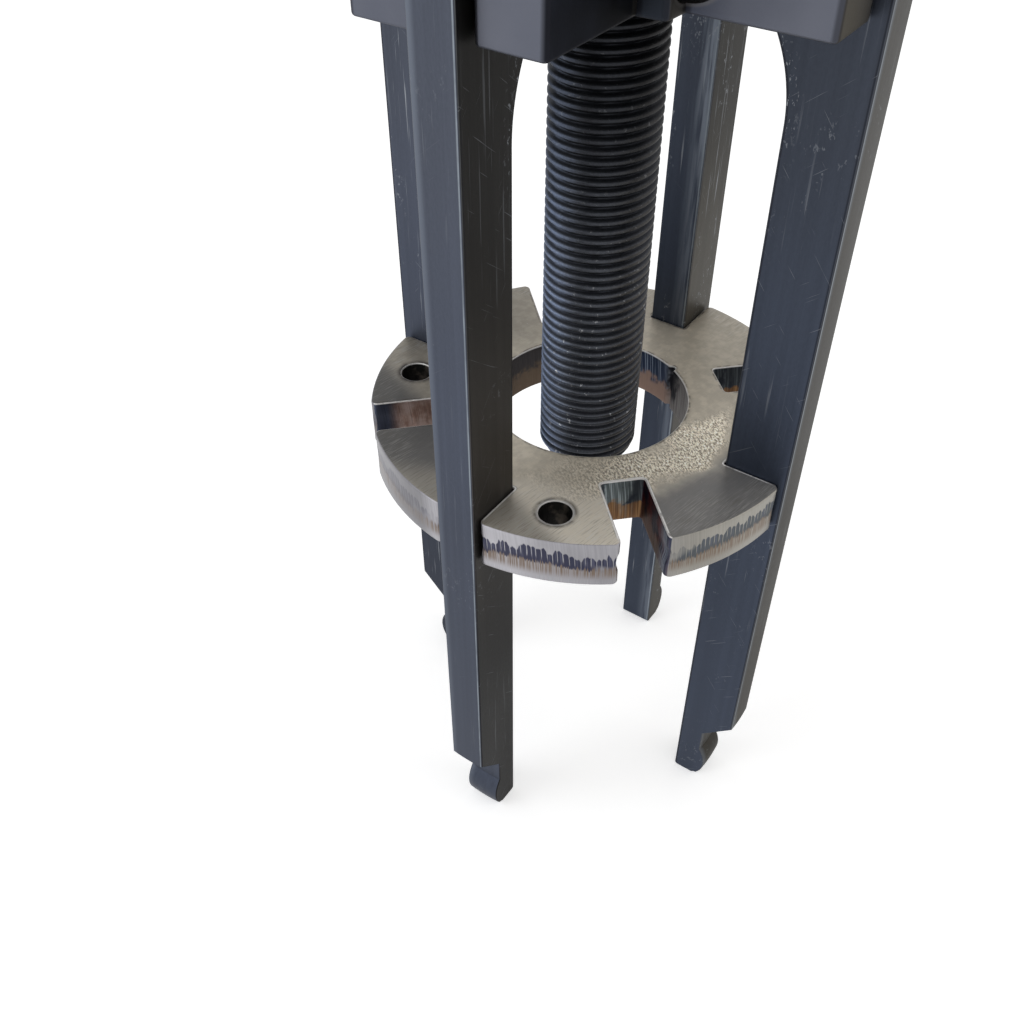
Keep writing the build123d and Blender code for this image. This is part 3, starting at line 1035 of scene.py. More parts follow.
def ring_slot_finish(ring, thickness):
    """Flame-cut slots and bore: teal, orange, maroon and navy heat tints, light drag lines."""
    made = Finish("flame_cut_slots")
    _, height, _ = made.split(made.place(source="UV"))
    east, north, away = made.plan()
    level = made.math("DIVIDE", height, thickness / MM)
    comb = streaks(made, 0.8, 41.0)
    fine = streaks(made, 3.2, 47.0)
    blotch = made.noise(made.place(scale=(0.28, 0.20, 1), move=(7, 3, 0), source="UV"), 3.0)
    drift = made.vary(blotch, -0.12, 0.12)
    tide = made.plus(level, drift)
    faces_front = made.step(made.facing((0.707, -0.707, 0)), 0.55, 0.85)
    in_bore = made.step(away, 24.2, 23.6)
    left_slot = made.times(faces_front, made.step(east, -6, -12))

    maroon = made.mix(made.step(made.towards(-45), 20, 28), (0.034, 0.026, 0.028), (0.060, 0.010, 0.012))
    side_wall = made.mix(made.step(blotch, 0.42, 0.56), maroon, (0.012, 0.007, 0.014))
    side_wall = made.mix(made.step(tide, 0.50, 0.30, 0, 0.7), side_wall, (0.085, 0.050, 0.032))
    front_wall = made.mix(made.step(fine, 0.46, 0.64), (0.085, 0.100, 0.102), (0.30, 0.34, 0.35))
    front_wall = made.mix(made.step(blotch, 0.52, 0.62, 0, 0.8), front_wall, (0.020, 0.024, 0.036))
    # Painted shade: the front walls darken towards the slot's right corner.
    right_corner_shade = made.step(made.plus(made.towards(45), made.times(drift, 6.0)), 0.8, 2.6, 0, 0.8)
    front_wall = made.mix(right_corner_shade, front_wall, (0.020, 0.023, 0.030))
    in_orange = made.times(made.step(tide, 0.48, 0.38), made.step(comb, 0.3, 0.5, 0.6, 1.0))
    orange = made.mix(made.step(fine, 0.4, 0.6), (0.12, 0.062, 0.032), (0.25, 0.140, 0.065))
    front_wall = made.mix(in_orange, front_wall, orange)
    rosy = made.mix(made.step(blotch, 0.40, 0.60), (0.23, 0.145, 0.115), (0.36, 0.27, 0.24))
    rosy = made.mix(made.step(away, 42, 46), rosy, (0.030, 0.034, 0.050))
    tone = made.mix(faces_front, side_wall, made.mix(left_slot, front_wall, rosy))

    angle = made.math("ARCTAN2", north, east)
    notch = radians(NOTCH_TURN)
    behind = made.step(angle, notch - 0.04, notch + 0.10)
    navy = made.mix(made.step(fine, 0.50, 0.66), (0.026, 0.038, 0.070), (0.21, 0.25, 0.32))
    navy = made.mix(made.step(tide, 0.52, 0.40), navy, (0.27, 0.185, 0.150))
    bare = made.mix(made.step(fine, 0.42, 0.62), (0.105, 0.095, 0.092), (0.215, 0.205, 0.20))
    wall = made.mix(behind, bare, navy)
    far_side = made.step(made.unsigned(made.plus(angle, -notch)), 1.1, 1.5)
    brown = made.mix(made.step(tide, 0.55, 0.40), (0.055, 0.050, 0.050), (0.13, 0.095, 0.068))
    wall = made.mix(far_side, wall, brown)
    from_notch = made.unsigned(made.plus(angle, -notch + 0.05, made.times(drift, 0.4)))
    burn = made.times(made.step(from_notch, 0.14, 0.05), made.step(level, 0.15, 0.40))
    wall = made.mix(burn, wall, (0.012, 0.012, 0.016))
    tone = made.mix(in_bore, tone, wall)

    washed = made.mix(made.step(fine, 0.46, 0.62), (0.048, 0.062, 0.110), (0.26, 0.30, 0.37))
    mouth = made.times(made.step(away, 42.5, 47.5), made.step(made.facing((-0.707, -0.707, 0)), 0.2, 0.6))
    tone = made.mix(made.times(mouth, made.step(comb, 0.3, 0.55, 0.95, 0.6)), tone, washed)
    # The plain holes' walls: dark, with brown blotches.
    in_hole = made.step(from_holes(made, ring), 0.5, 0.2)
    hole_wall_tone = made.mix(made.step(blotch, 0.50, 0.66), (0.018, 0.017, 0.016), (0.10, 0.085, 0.07))
    tone = made.mix(in_hole, tone, hole_wall_tone)
    # Painted highlight along the top edge of every wall.
    tone = made.mix(made.step(level, 0.965, 0.985, 0, 0.6), tone, ring.highlight_colour)
    rough = made.plus(made.step(mouth, 0, 1, 0.42, 0.26), made.times(fine, 0.2))
    relief = made.plus(comb, made.times(fine, 0.5))
    return made.done(tone, rough, 0.7, made.bump(relief, 0.0002, 0.7), specular=0.2, rim_light=0.5)


def screw_finish(screw):
    """Oiled black oxide; painted shade in the roots, narrow glints on the crests, a cold sheen to the
    left.
    """
    made = Finish("oiled_screw_steel")
    _, _, height = made.in_mm()
    _, _, away = made.plan()
    crest_radius = screw.diameter / 2 / MM
    root_radius = crest_radius - screw.depth / MM
    cloud = made.spots(70, 3.0)
    film = made.spots(900, 4.0, 0.7)
    grain = made.spots(2600, 2.0)
    crest = made.step(away, root_radius + 0.30, crest_radius - 0.02)
    # Painted sheen on the side towards the window, weaker above the crosshead.
    left = made.step(made.facing((-0.93, -0.37, 0)), 0.15, 0.85)
    left = made.times(left, made.step(height, 200, 300, 1.0, 0.15))
    # Painted warm light on the right side.
    right = made.step(made.facing((0.99, 0.12, 0)), 0.45, 0.95)
    cold = made.times(left, made.vary(cloud, 0.7, 1.0))
    tone = made.mix(cold, screw.crest_highlight_colour, screw.sheen_colour)
    tone = made.mix(made.times(right, 0.8), tone, (0.070, 0.064, 0.055))
    tone = made.mix(made.step(cloud, 0.56, 0.70, 0, 0.4), tone, (0.052, 0.043, 0.046))
    head = (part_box("forcing_screw")[1].z - screw.hexagon_height) / MM
    crest = made.most(crest, made.step(height, head - 0.5, head))
    above = made.step(height, 195, 310)
    shade = made.most(made.step(height, 135, 198, 1.0, 0.50), above)
    crest_share = made.most(made.step(height, 115, 195, 1.0, 0.42), above)
    crest = made.times(made.most(crest, made.times(left, 0.70)), crest_share)
    # Painted highlight on the crests over painted shade in the roots.
    tone = made.mix(crest, screw.root_shade_colour, tone)
    tone = made.scaled(tone, made.times(made.vary(grain, 0.85, 1.15), shade))
    # Painted glints: small bright spots on the crests, more of them low down.
    crest_glints = made.times(made.step(film, 0.61, 0.68), crest, made.step(height, 160, 105, 0.25, 0.9))
    tone = made.mix(crest_glints, tone, (0.50, 0.51, 0.53))
    rough = made.vary(cloud, 0.34, 0.46)
    rough = made.plus(rough, made.times(film, 0.14), made.times(crest_glints, -0.15))
    return made.done(tone, rough, 0.8, made.bump(film, 0.00003, 0.5), rim_light=0.7)


def crosshead_finish(cross):
    """Smooth satin steel, painted colder on its front and left faces than on the others, with painted
    shade.
    """
    made = Finish("satin_crosshead")
    cloud = made.noise(made.place(scale=(45, 45, 30)), 3.0)
    grain = made.noise(made.place(scale=(2400, 2400, 1600)), 2.0)
    east, north, height = made.in_mm()
    low_corner, high_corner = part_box("crosshead")
    low, reach = low_corner.z / MM, high_corner.x / MM
    boss, arm, fork = (size / 2 / MM for size in (cross.boss_width, cross.arm_width, cross.fork_width))
    # Painted light and shade by the way a face looks; the front arm's right side is painted near black.
    front = made.most(made.facing((0, -1, 0)), made.facing((-1, 0, 0)))
    right = made.step(made.facing((1, 0, 0)), 0.3, 0.7)
    tone = made.mix(made.step(front, 0.3, 0.7), cross.warm_face_light, cross.cool_face_light)
    arm_side_shade = made.mix(made.step(north, -45, -27), (0.004, 0.004, 0.004), (0.009, 0.009, 0.009))
    tone = made.mix(made.times(right, made.step(north, -boss - 0.3, -boss - 1.7)), tone, arm_side_shade)
    # Painted shade in the inner corner: the boss's front face and the arm face beside it are darker.
    faces_front = made.step(made.facing((0, -1, 0)), 0.3, 0.7)
    on_boss = made.step(made.unsigned(made.plus(north, boss)), 1.2, 0.5)
    tone = made.mix(made.times(on_boss, faces_front, 0.9), tone, (0.012, 0.017, 0.023))
    on_arm = made.step(made.unsigned(made.plus(north, arm)), 1.6, 0.3)
    near_boss = made.step(east, boss + 9, boss + 0.3)
    tone = made.mix(made.times(near_boss, on_arm, faces_front, 0.6), tone, (0.030, 0.036, 0.060))
    tone = made.mix(made.vary(cloud, 0, 0.25), tone, (0.075, 0.085, 0.12))
    corners = [(reach, arm), (reach, fork), (boss, boss), (boss, arm)]
    long_side = made.most(made.unsigned(east), made.unsigned(north))
    short_side = made.math("MINIMUM", made.unsigned(east), made.unsigned(north))
    nearest = FAR
    for x, y in corners:
        distance = made.length_of(made.minus(long_side, x), made.minus(short_side, y))
        nearest = made.math("MINIMUM", nearest, distance)
    tone = made.mix(made.step(nearest, 1.3, 0.6, 0, 0.6), tone, (0.012, 0.012, 0.016))
    aim = Vector((cross.boss_width, -cross.arm_width)).normalized()
    aside = made.plus(made.times(east, -aim.y), made.times(north, aim.x))
    along = made.plus(made.times(east, aim.x), made.times(north, aim.y))
    raised = made.minus(height, low + cross.oil_height / MM)
    from_axis = made.plus(made.length_of(aside, raised), made.step(along, 15, 10, 0, 50))
    hole = cross.oil_hole / MM
    # Painted highlight round the oil hole's mouth and painted shade inside it.
    tone = made.mix(made.step(from_axis, hole + 0.7, hole + 0.2, 0, 0.35), tone, (0.22, 0.21, 0.20))
    tone = made.mix(made.step(from_axis, hole + 0.06, hole - 0.1), tone, (0.020, 0.018, 0.018))
    # Painted highlight: a faint light line along the lower edge.
    tone = made.mix(made.step(height, low + 0.7, low + 0.2, 0, 0.06), tone, (0.22, 0.22, 0.24))
    rough = made.plus(made.vary(cloud, 0.38, 0.48), made.times(grain, 0.08))
    return made.done(tone, rough, 0.8, made.bump(grain, 0.00002, 0.5), specular=0.3, rim_light=0.4)


def fastener_finish(cross):
    """Black oxide fasteners, with faint rubbing."""
    made = Finish("black_fasteners")
    cloud = made.spots(160, 3.0)
    grain = made.spots(1900, 3.0)
    tone = made.mix(made.step(cloud, 0.4, 0.7), cross.fastener_colour, (0.078, 0.078, 0.086))
    tone = made.mix(made.step(grain, 0.66, 0.76, 0, 0.4), tone, (0.30, 0.30, 0.31))
    rough = made.plus(made.vary(cloud, 0.32, 0.45), made.times(grain, 0.1))
    return made.done(tone, rough, 0.85, made.bump(grain, 0.00003, 0.5))


def point_finish():
    """Hardened bright steel with turning marks."""
    made = Finish("turned_point")
    _, _, height = made.in_mm()
    marks = made.noise(made.joined(0.0, 0.0, made.times(height, 9.0)), 2.0)
    cloud = made.spots(220, 2.0)
    tone = made.mix(made.step(marks, 0.4, 0.7), (0.36, 0.35, 0.34), (0.58, 0.57, 0.56))
    tone = made.mix(made.step(cloud, 0.5, 0.7, 0, 0.5), tone, (0.22, 0.20, 0.18))
    rough = made.vary(cloud, 0.20, 0.34)
    return made.done(tone, rough, 1.0, made.bump(marks, 0.00001, 0.5))


def leg_outline(legs):
    """A leg's side view, anticlockwise, as points of (radius, height), and its eye."""
    low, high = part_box("leg_right")
    outer, head_inner, top = high.x, low.x, high.z
    inner = outer - legs.depth
    pivot = Vector((outer - legs.eye, top - legs.eye))
    tongue, toe_round, sole_edge = inner + legs.tongue, legs.toe_round, legs.sole_edge
    toe_centre = Vector((inner + legs.toe - toe_round, legs.toe_height))
    rise = sqrt(toe_round**2 - (tongue - toe_centre.x) ** 2)
    sweep_centre = Vector((inner - legs.sweep, legs.sweep_start))
    sweep_end = math.acos((head_inner - sweep_centre.x) / legs.sweep)
    sole_turn = math.asin(legs.toe_height / toe_round)
    sole_end = toe_centre.x + toe_round * cos(sole_turn) - 0.0001
    fine, coarse = 0.0002, 0.0012
    outline = arc((inner + sole_edge, sole_edge), sole_edge, pi * 1.5, pi, fine)[::-1]
    outline += arc((sole_end - sole_edge, sole_edge), sole_edge, -pi / 2, -sole_turn / 2, fine)
    outline += arc(toe_centre, toe_round, -sole_turn * 0.85, math.asin(rise / toe_round), fine * 3)
    outline += [Vector((tongue, legs.shoulder - outer + tongue)), Vector((outer, legs.shoulder))]
    outline += arc(pivot, legs.eye, 0, pi, coarse)
    outline += arc(sweep_centre, legs.sweep, sweep_end, 0, coarse)
    eye = arc(pivot, BOLT + GAP, 2 * pi, 0, 0.001)[:-1]
    return outline, eye


def leg_mesh(name, legs, turn):
    """A leg with rounded long edges; its foot's outer faces are turned about the axis."""
    plate = Plate(leg_outline(legs), edge_rows(legs.thickness, legs.edge, 6))
    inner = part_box("leg_right")[1].x - legs.depth
    foot_top, flat, blend = legs.shoulder + 0.0001, 0.001, 0.0055
    moved = []
    for x, y, z in plate.points:
        across = legs.thickness / 2 - z
        if y < foot_top and x > inner + flat:
            weight = min(1, (x - inner) / blend)
            x = x - weight * (x - sqrt(x * x - across * across))
        moved.append((x, across, y))
    plate.points = moved
    made = plate.mesh(name)
    made.transform(turned(turn))
    return made


def slot_outline(width, floor, corner, mouth, rim, spacing):
    """One slot of the ring, along X, from the rim inwards and out again."""
    half = width / 2
    turn_x = sqrt((rim - mouth) ** 2 - (half + mouth) ** 2)
    begin = math.atan2(half + mouth, turn_x)
    points = arc((turn_x, -half - mouth), mouth, -begin, pi / 2, spacing)[:-1]
    points += stretch((turn_x, -half), (floor + corner, -half), spacing)
    points += arc((floor + corner, corner - half), corner, -pi / 2, -pi, spacing)[:-1]
    points += stretch((floor, corner - half), (floor, half - corner), spacing)
    points += arc((floor + corner, half - corner), corner, pi, pi / 2, spacing)[:-1]
    points += stretch((floor + corner, half), (turn_x, half), spacing)
    points += arc((turn_x, half + mouth), mouth, -pi / 2, begin, spacing)
    return points


def slot_size(ring, turn):
    """Width, floor radius and corner radius of the slot at an angle in degrees."""
    if turn % 90 == 0:
        return ring.leg_slot_width, ring.leg_slot_floor, ring.leg_slot_corner
    return ring.spare_slot_width, ring.spare_slot_floor, ring.spare_slot_corner


def ring_outlines(ring):
    """The ring's outer outline with its eight slots, its bore with the notch, its holes."""
    rim, spacing = ring.diameter / 2, 0.00045
    outer = []
    for turn in SLOT_TURNS:
        slot = slot_outline(*slot_size(ring, turn), ring.mouth, rim, spacing)
        spin = Matrix.Rotation(radians(turn), 2)
        slot = [spin @ p for p in slot]
        if outer:
            start, end = direction_of(outer[-1]), direction_of(slot[0])
            outer += arc((0, 0), rim, start, end, spacing)[1:-1]
        outer += slot
    start, end = direction_of(outer[-1]), direction_of(outer[0])
    outer += arc((0, 0), rim, start, end, spacing)[1:-1]
    bore = []
    for point in arc((0, 0), ring.bore / 2, 2 * pi, 0, 0.00025)[:-1]:
        aside = (direction_of(point) - radians(NOTCH_TURN)) * ring.bore / 2
        extra = sqrt(max(0, ring.notch**2 - aside * aside))
        bore.append(point * (1 + extra / point.length))
    holes = []
    for turn in HOLE_TURNS:
        centre = Vector((cos(radians(turn)), sin(radians(turn)))) * ring.hole_circle / 2
        holes.append(arc(centre, ring.hole / 2, 2 * pi, 0, 0.0004)[:-1])
    return [outer, bore, *holes]


def slot_of(ring, point, past):
    """The slot at a point, or less than past beside it: its half width, how far out, how far aside."""
    for turn in SLOT_TURNS:
        half = slot_size(ring, turn)[0] / 2
        x, y = Matrix.Rotation(radians(-turn), 2) @ point
        if x > 0 and abs(y) <= half + past:
            return half, x, abs(y)
    return None


def ring_mesh(ring):
    """The ring with hollows washed out at the slots' mouths and fine drag lines."""
    low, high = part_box("spacer_ring")
    thickness = high.z - low.z
    rim, mouth = ring.diameter / 2, ring.mouth * 0.75

    def dent(index, point, height):
        """How far the flame went into the wall."""
        middle = height - thickness / 2
        fade = sin(pi * min(max(height / thickness, 0), 1))
        place = Vector((point.x, point.y, height * 0.12)) * 1900
        ripple = (noise.noise(place) + 0.6) * 0.00007 * fade
        slot = slot_of(ring, point, mouth) if index == 0 else None
        if not slot:
            return ripple
        half, x, aside = slot
        reach = (x - (rim - ring.wash_length)) / ring.wash_length
        hollow = half + ring.wash_depth * min(max(reach, -1), 1)
        if hollow <= abs(middle):
            return ripple
        share = min(1, max(0, (half + mouth - aside) / mouth))
        return ripple + max(0, sqrt(hollow**2 - middle**2) - half) * share

    def wall_finish(index, point):
        """The rim and the walls of the slots and holes wear different marks."""
        if index == 0 and point.length > rim - 0.0006:
            return 1
        return 2

    rows, face_spacing = edge_rows(thickness, ring.edge, 12, 2), 0.0009
    plate = Plate(ring_outlines(ring), rows, face_spacing, dent, wall_finish)
    made = plate.mesh("spacer_ring_dressed")
    made.transform(Matrix.Translation((0, 0, low.z)))
    return made


def crosshead_outline(cross):
    """The crosshead's plan, anticlockwise, with a fork in each arm."""
    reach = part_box("crosshead")[1].x
    arm, boss, fork = cross.arm_width / 2, cross.boss_width / 2, cross.fork_width / 2
    quarter = [
        (boss, -arm, 0),
        (reach, -arm, cross.corner),
        (reach, -fork, cross.corner),
        (cross.fork_floor, -fork, 0),
        (cross.fork_floor, fork, 0),
        (reach, fork, cross.corner),
        (reach, arm, cross.corner),
        (boss, arm, 0),
        (boss, boss, cross.corner),
    ]
    corners = []
    for turn in SIDES.values():
        spin = Matrix.Rotation(radians(turn), 2)
        corners += [(*(spin @ Vector((x, y))), radius) for x, y, radius in quarter]
    return rounded(corners, 0.0004)


def washer_profile(inner, outer, thickness, edge=0.00025):
    """A washer's section, with broken edges."""
    return [
        (inner, edge),
        (inner + edge, 0),
        (outer - edge, 0),
        (outer, edge),
        (outer, thickness - edge),
        (outer - edge, thickness),
        (inner + edge, thickness),
        (inner, thickness - edge),
    ]


# Operators


class PULLER_OT_legs(bpy.types.Operator):
    """Builds the four legs"""

    bl_idname = "puller.legs"
    bl_label = "Legs"

    def execute(self, context):
        legs = context.scene.puller_legs
        for side, turn in SIDES.items():
            node = f"leg_{side}"
            made = new_object(f"{node}_dressed", leg_mesh(node, legs, turn))
            made.data.materials.append(leg_finish(side, turn, legs))
            harden(made)
            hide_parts(node)
            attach(made, node)
        return {"FINISHED"}


class PULLER_OT_ring(bpy.types.Operator):
    """Builds the slotted spacer ring"""

    bl_idname = "puller.ring"
    bl_label = "Spacer Ring"

    def execute(self, context):
        ring = context.scene.puller_ring
        made = new_object("spacer_ring_dressed", ring_mesh(ring))
        thickness = cad_size("spacer_ring", 2)
        made.data.materials.append(ring_face_finish(ring))
        made.data.materials.append(ring_rim_finish(ring, thickness))
        made.data.materials.append(ring_slot_finish(ring, thickness))
        harden(made, 50)
        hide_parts("spacer_ring")
        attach(made, "spacer_ring")
        return {"FINISHED"}


class PULLER_OT_crosshead(bpy.types.Operator):
    """Builds the forked crosshead with its screw bore and its oil hole"""

    bl_idname = "puller.crosshead"
    bl_label = "Crosshead"

    def execute(self, context):
        cross = context.scene.puller_crosshead
        low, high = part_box("crosshead")
        thickness = high.z - low.z
        bore_radius = context.scene.puller_screw.diameter / 2 + GAP
        bore = arc((0, 0), bore_radius, 2 * pi, 0, 0.0006)[:-1]
        chamfer = cross.bore_chamfer
        rows = edge_rows(thickness, cross.edge, 2)
        rows = sorted(rows + [(chamfer, 0), (thickness - chamfer, 0)])
        insets = dict(rows)

        def mouth(index, point, height):
            """Opens the bore towards both faces."""
            if index == 0:
                return 0
            return max(0, chamfer - min(height, thickness - height)) - insets[height]

        plate = Plate([crosshead_outline(cross), bore], rows, dent=mouth)
        mesh = plate.mesh("crosshead_dressed")
        mesh.transform(Matrix.Translation((0, 0, low.z)))
        made = new_object("crosshead_dressed", mesh)
        corner = Vector((cross.boss_width / 2, -cross.arm_width / 2, 0))
        aim = turned(math.degrees(math.atan2(corner.y, corner.x))) @ Matrix.Rotation(pi / 2, 4, "Y")
        hole, reach = cross.oil_hole, 0.045
        points, faces, _ = lathe([(0, 0), (hole, 0), (hole, reach), (0, reach)], 40)
        place = Matrix.Translation((0, 0, low.z + cross.oil_height)) @ aim
        drill = new_object("drill", mesh_from("drill", points, faces, place))
        cut = made.modifiers.new("Oil hole", "BOOLEAN")
        cut.object = drill
        cut.solver = "EXACT"
        settle(made)
        merge_doubles(made)
        bpy.data.objects.remove(drill)
        made.data.materials.clear()
        made.data.materials.append(crosshead_finish(cross))
        harden(made)
        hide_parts("crosshead")
        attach(made, "crosshead")
        return {"FINISHED"}


class PULLER_OT_fasteners(bpy.types.Operator):
    """Builds the pivot bolts with their nuts and washers"""

    bl_idname = "puller.fasteners"
    bl_label = "Pivot Fasteners"

    def execute(self, context):
        cross = context.scene.puller_crosshead
        finish = fastener_finish(cross)
        head_low, head_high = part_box("pivot_bolt_right")
        washer_low, washer_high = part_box("pivot_washer_right")
        nut_low, nut_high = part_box("pivot_nut_right")
        pivot = (head_low + head_high) / 2
        arm = cross.arm_width / 2

        def laid(start):
            """Lays an upright shape along the right arm's pivot."""
            turn = Matrix.Rotation(-pi / 2, 4, "X")
            return Matrix.Translation((pivot.x, start, pivot.z)) @ turn

        hexagon = min(cad_size("pivot_bolt_right", 0), cad_size("pivot_bolt_right", 2))
        corner, land, drop = hexagon_edge(hexagon)
        head = -arm - head_low.y
        head_rows = [(0, land), (drop * 0.12, land + 0.0001), (drop, corner), (head, corner)]
        bolt_length, pitch, depth = head_high.y + arm, 0.0015, 0.0008
        threaded, chamfer, steps, run_out = 0.014, 0.001, 70, 6
        rows, weights = [(0, 0), (BOLT, 0)], [0, 0]
        for i in range(steps + 1):
            height = bolt_length - threaded + (threaded - chamfer) * i / steps
            rows.append((BOLT, height))
            weights.append(min(1, i / run_out))
        rows += [(BOLT - 0.0009, bolt_length), (0, bolt_length)]
        weights += [0, 0]
        points, faces, weight = lathe(rows, 40, weights)
        self.place_all(
            "pivot_bolt_heads",
            mesh_from("pivot_bolts", *prism_profile(hexagon, head_rows), laid(head_low.y)),
            finish,
            [f"pivot_bolt_{side}" for side in SIDES],
        )
        shank = new_object("pivot_bolt_shanks", mesh_from("shanks", points, faces))
        cut_thread(shank, weight, pitch, depth, finish)
        shank.data.transform(laid(-arm))
        run_tree(shank, array_tree(), Count=4, Material=finish)
        harden(shank, 40)
        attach(shank, "crosshead")
        nut = nut_high.y - nut_low.y
        nut_rows = [(0, land), (drop, corner), (nut - drop, corner), (nut, land)]
        self.place_all(
            "pivot_nuts",
            mesh_from("nuts", *prism_profile(hexagon, nut_rows), laid(nut_low.y)),
            finish,
            [f"pivot_nut_{side}" for side in SIDES],
        )
        thick = washer_high.y - washer_low.y
        wide = (washer_high.x - washer_low.x) / 2
        section = tube(washer_profile(BOLT + 0.00025, wide, thick), 64)
        self.place_all(
            "pivot_washers",
            mesh_from("washers", *section, laid(washer_low.y)),
            finish,
            [f"pivot_washer_{side}" for side in SIDES],
        )
        return {"FINISHED"}

    def place_all(self, name, mesh, finish, nodes):
        """Repeats one arm's fasteners round the axis."""
        made = new_object(name, mesh)
        run_tree(made, array_tree(), Count=4, Material=finish)
        harden(made, 25)
        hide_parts(*nodes)
        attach(made, "crosshead")


class PULLER_OT_screw(bpy.types.Operator):
    """Builds the forcing screw with its real thread and its hexagon head"""

    bl_idname = "puller.screw"
    bl_label = "Forcing Screw"

    def execute(self, context):
        screw = context.scene.puller_screw
        finish = screw_finish(screw)
        low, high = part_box("forcing_screw")
        radius, hole = screw.diameter / 2, screw.stem / 2 + GAP
        depth, chamfer, first = 0.015, 0.0004, 0.0001
        rows = [(0, low.z + depth), (hole, low.z + depth), (hole, low.z + chamfer)]
        rows += [(hole + chamfer, low.z), (radius - screw.taper_depth, low.z)]
        weights = [0.0] * len(rows)
        top, plain, run_out, rows_per_turn = low.z + screw.length, 0.004, 0.002, 12
        count = round(screw.length / screw.pitch * rows_per_turn)
        for i in range(count + 1):
            height = low.z + first + (screw.length - first) * i / count
            share = min(1, (height - low.z) / screw.taper_length)
            outside = radius - screw.taper_depth * (1 - share)
            rows.append((outside, height))
            start = 1 - (radius - outside) / screw.depth
            end = (top - plain - height) / run_out
            weights.append(min(1, max(0, min(start, end))))
        head_base, collar = high.z - screw.hexagon_height, screw.collar
        rows += [(collar - 0.0001, top), (collar, top + 0.0001), (collar, head_base - 0.0003)]
        rows += [(collar - 0.0003, head_base), (0, head_base)]
        weights += [0.0] * 5
        points, faces, weight = lathe(rows, 48, weights)
        shank = new_object("forcing_screw_shank", mesh_from("shank", points, faces))
        cut_thread(shank, weight, screw.pitch, screw.depth, finish)
        harden(shank, 48)
        corner, land, drop = hexagon_edge(screw.hexagon)
        full, centre = screw.hexagon_height, 0.0025
        head_rows = [(0, corner), (full - drop, corner), (full - drop * 0.1, land + 0.0002)]
        head_rows += [(full, land), (full, centre), (full - centre * 1.6, 0.0002)]
        shape = prism_profile(screw.hexagon, head_rows)
        place = Matrix.Translation((0, 0, head_base))
        head = new_object("forcing_screw_head", mesh_from("head", *shape, place))
        head.data.materials.append(finish)
        harden(head, 25)
        for piece in (shank, head):
            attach(piece, "forcing_screw")
        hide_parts("forcing_screw")
        return {"FINISHED"}


class PULLER_OT_point(bpy.types.Operator):
    """Builds the thrust point that swivels in the screw's end"""

    bl_idname = "puller.point"
    bl_label = "Thrust Point"

    def execute(self, context):
        screw = context.scene.puller_screw
        low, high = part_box("thrust_point")
        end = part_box("forcing_screw")[0].z
        stem, cone, flange, tip = screw.stem / 2, screw.cone / 2, (high.x - low.x) / 2, 0.0004
        under, broken = end - 0.0018, 0.0002
        profile = [(0, low.z), (tip, low.z), (cone, under), (flange - broken, under)]
        profile += [(flange, under + broken), (flange, end - broken), (flange - broken, end)]
        profile += [(stem, end), (stem, high.z - broken), (stem - broken, high.z), (0, high.z)]
        points, faces, _ = lathe(profile, 56)
        made = new_object("thrust_point_dressed", mesh_from("point", points, faces))
        made.data.materials.append(point_finish())
        harden(made, 20)
        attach(made, "screw_travel")
        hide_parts("thrust_point")
        return {"FINISHED"}


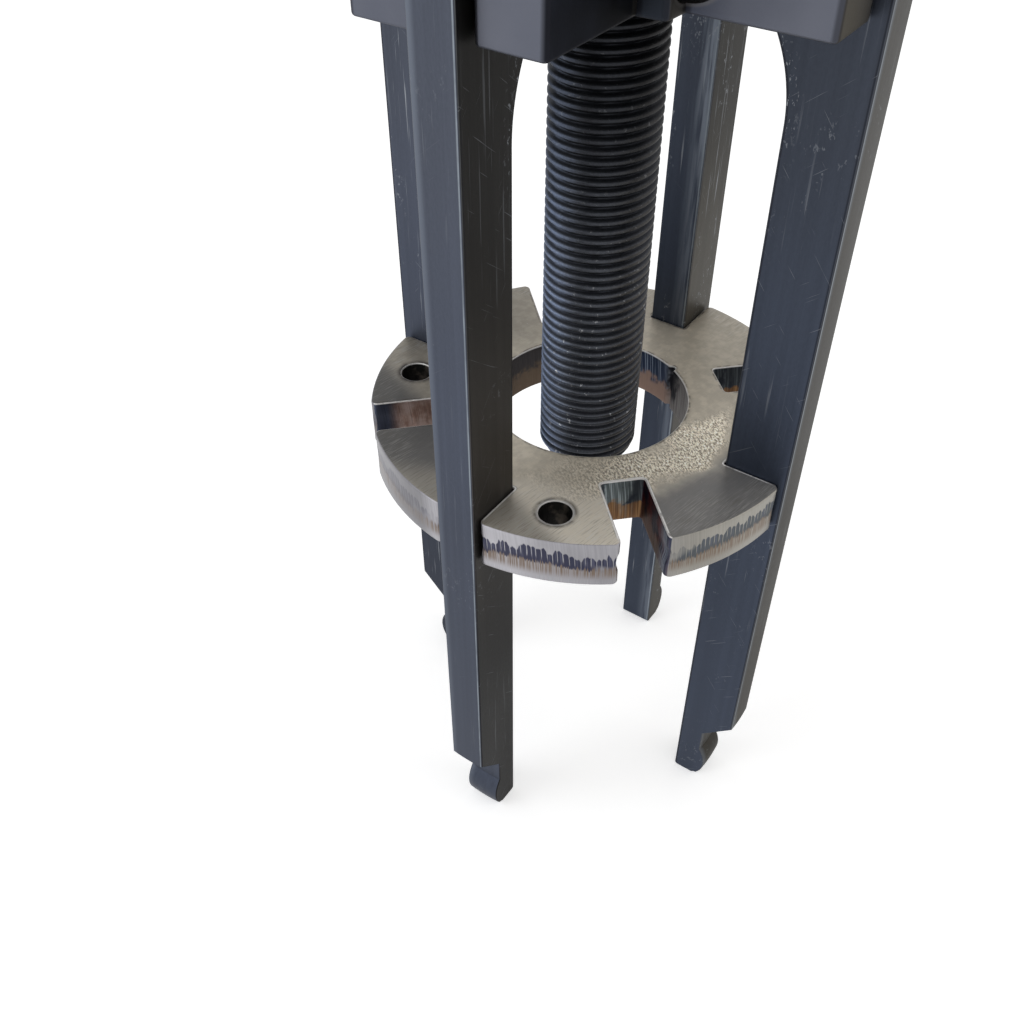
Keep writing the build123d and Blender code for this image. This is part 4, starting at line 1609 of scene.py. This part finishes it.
class PULLER_OT_stage(bpy.types.Operator):
    """Sets the floor, the lights, the sky and the camera"""

    bl_idname = "puller.stage"
    bl_label = "Stage"

    def execute(self, context):
        stage = context.scene.puller_stage
        self.floor(stage)
        self.sky(context, stage)
        self.lamps(context, stage)
        self.camera(context, stage)
        context.scene.view_settings.view_transform = "Standard"
        return {"FINISHED"}

    def seen_directly(self, tree):
        """1 for rays from the camera, from gloss and through glass."""
        path = tree.nodes.new("ShaderNodeLightPath").outputs
        total = path["Is Camera Ray"]
        for name in ("Is Glossy Ray", "Is Transmission Ray"):
            most = tree.nodes.new("ShaderNodeMath")
            most.operation = "MAXIMUM"
            tree.links.new(total, most.inputs[0])
            tree.links.new(path[name], most.inputs[1])
            total = most.outputs[0]
        return total

    def floor(self, stage):
        """A wide pale floor that keeps a soft shadow."""
        reach = 6.0
        corners = [(-reach, -reach, 0), (reach, -reach, 0), (reach, reach, 0), (-reach, reach, 0)]
        mesh = bpy.data.meshes.new("floor")
        mesh.from_pydata(corners, [], [(0, 1, 2, 3)])
        floor = new_object("floor", mesh)
        made = Finish("pale_floor")
        made.done(stage.floor_colour, 0.9, 0.0, specular=0.0)
        glow = made.tree.nodes.new("ShaderNodeEmission")
        both = made.tree.nodes.new("ShaderNodeAddShader")
        share = made.times(self.seen_directly(made.tree), stage.glow)
        made.put(glow.inputs["Strength"], share)
        made.put(both.inputs[0], made.shader.outputs[0])
        made.put(both.inputs[1], glow.outputs[0])
        made.put(made.tree.nodes["Material Output"].inputs[0], both.outputs[0])
        floor.data.materials.append(made.material)

    def sky(self, context, stage):
        """Light all round, white where it is seen."""
        world = bpy.data.worlds.new("soft_room")
        world.use_nodes = True
        tree = world.node_tree
        back = tree.nodes["Background"]
        back.inputs[0].default_value = (1, 1, 1, 1)
        level = tree.nodes.new("ShaderNodeMapRange")
        tree.links.new(self.seen_directly(tree), level.inputs[0])
        level.inputs[3].default_value = stage.sky
        level.inputs[4].default_value = 1.0
        tree.links.new(level.outputs[0], back.inputs[1])
        context.scene.world = world

    def lamps(self, context, stage):
        """A wide front light from the left and a weaker one from behind."""
        for name, place, size, power, tint in (
            ("window", (-0.9, -1.1, 1.1), 1.0, stage.sun, (0.93, 0.96, 1.0)),
            ("fill", (1.2, 0.6, 1.3), 1.2, stage.sun * 0.45, (1.0, 0.96, 0.92)),
        ):
            light = bpy.data.lights.new(name, "AREA")
            light.size, light.energy, light.color = size, power, tint
            lamp = bpy.data.objects.new(name, light)
            lamp.location = place
            aim = Vector((0, 0, 0.15)) - Vector(place)
            lamp.rotation_euler = aim.to_track_quat("-Z", "Y").to_euler()
            context.scene.collection.objects.link(lamp)

    def camera(self, context, stage):
        """The photograph's place and direction."""
        lens = bpy.data.cameras.new("camera")
        lens.lens, lens.sensor_width = stage.lens, 36.0
        lens.clip_start, lens.clip_end = 0.01, 50.0
        camera = bpy.data.objects.new("camera", lens)
        right = Vector((0.81875968, 0.57413336, -0.00186041))
        up = Vector((-0.3861261, 0.55303872, 0.73827827))
        back = Vector((0.42489907, -0.60375413, 0.67449369))
        place = Vector((0.10065, -0.17362, 0.2544))
        camera.matrix_world = Matrix.Translation(place) @ Matrix((right, up, back)).transposed().to_4x4()
        context.scene.collection.objects.link(camera)
        context.scene.camera = camera


OPERATORS = (
    PULLER_OT_legs,
    PULLER_OT_ring,
    PULLER_OT_crosshead,
    PULLER_OT_fasteners,
    PULLER_OT_screw,
    PULLER_OT_point,
    PULLER_OT_stage,
)


class PULLER_PT_panel(bpy.types.Panel):
    """The puller's pieces and their settings"""

    bl_idname = "PULLER_PT_panel"
    bl_label = "Bearing Puller"
    bl_space_type = "VIEW_3D"
    bl_region_type = "UI"
    bl_category = "Puller"

    def draw(self, context):
        for operator in OPERATORS:
            self.layout.operator(operator.bl_idname)
        for name, group in SETTINGS.items():
            box = self.layout.box()
            box.label(text=name.replace("puller_", "").title())
            for key in group.__annotations__:
                box.prop(getattr(context.scene, name), key)


def register():
    """Registers the settings, the operators and the panel."""
    for name, group in SETTINGS.items():
        bpy.utils.register_class(group)
        setattr(bpy.types.Scene, name, PointerProperty(type=group))
    for made in (*OPERATORS, PULLER_PT_panel):
        bpy.utils.register_class(made)


def unregister():
    """Takes away all that register added."""
    for made in (PULLER_PT_panel, *reversed(OPERATORS)):
        bpy.utils.unregister_class(made)
    for name, group in SETTINGS.items():
        delattr(bpy.types.Scene, name)
        bpy.utils.unregister_class(group)


def main():
    """Builds every piece and the stage."""
    register()
    for operator in OPERATORS:
        group, name = operator.bl_idname.split(".")
        getattr(getattr(bpy.ops, group), name)()
    bpy.context.view_layer.update()


if __name__ == "__main__":
    main()
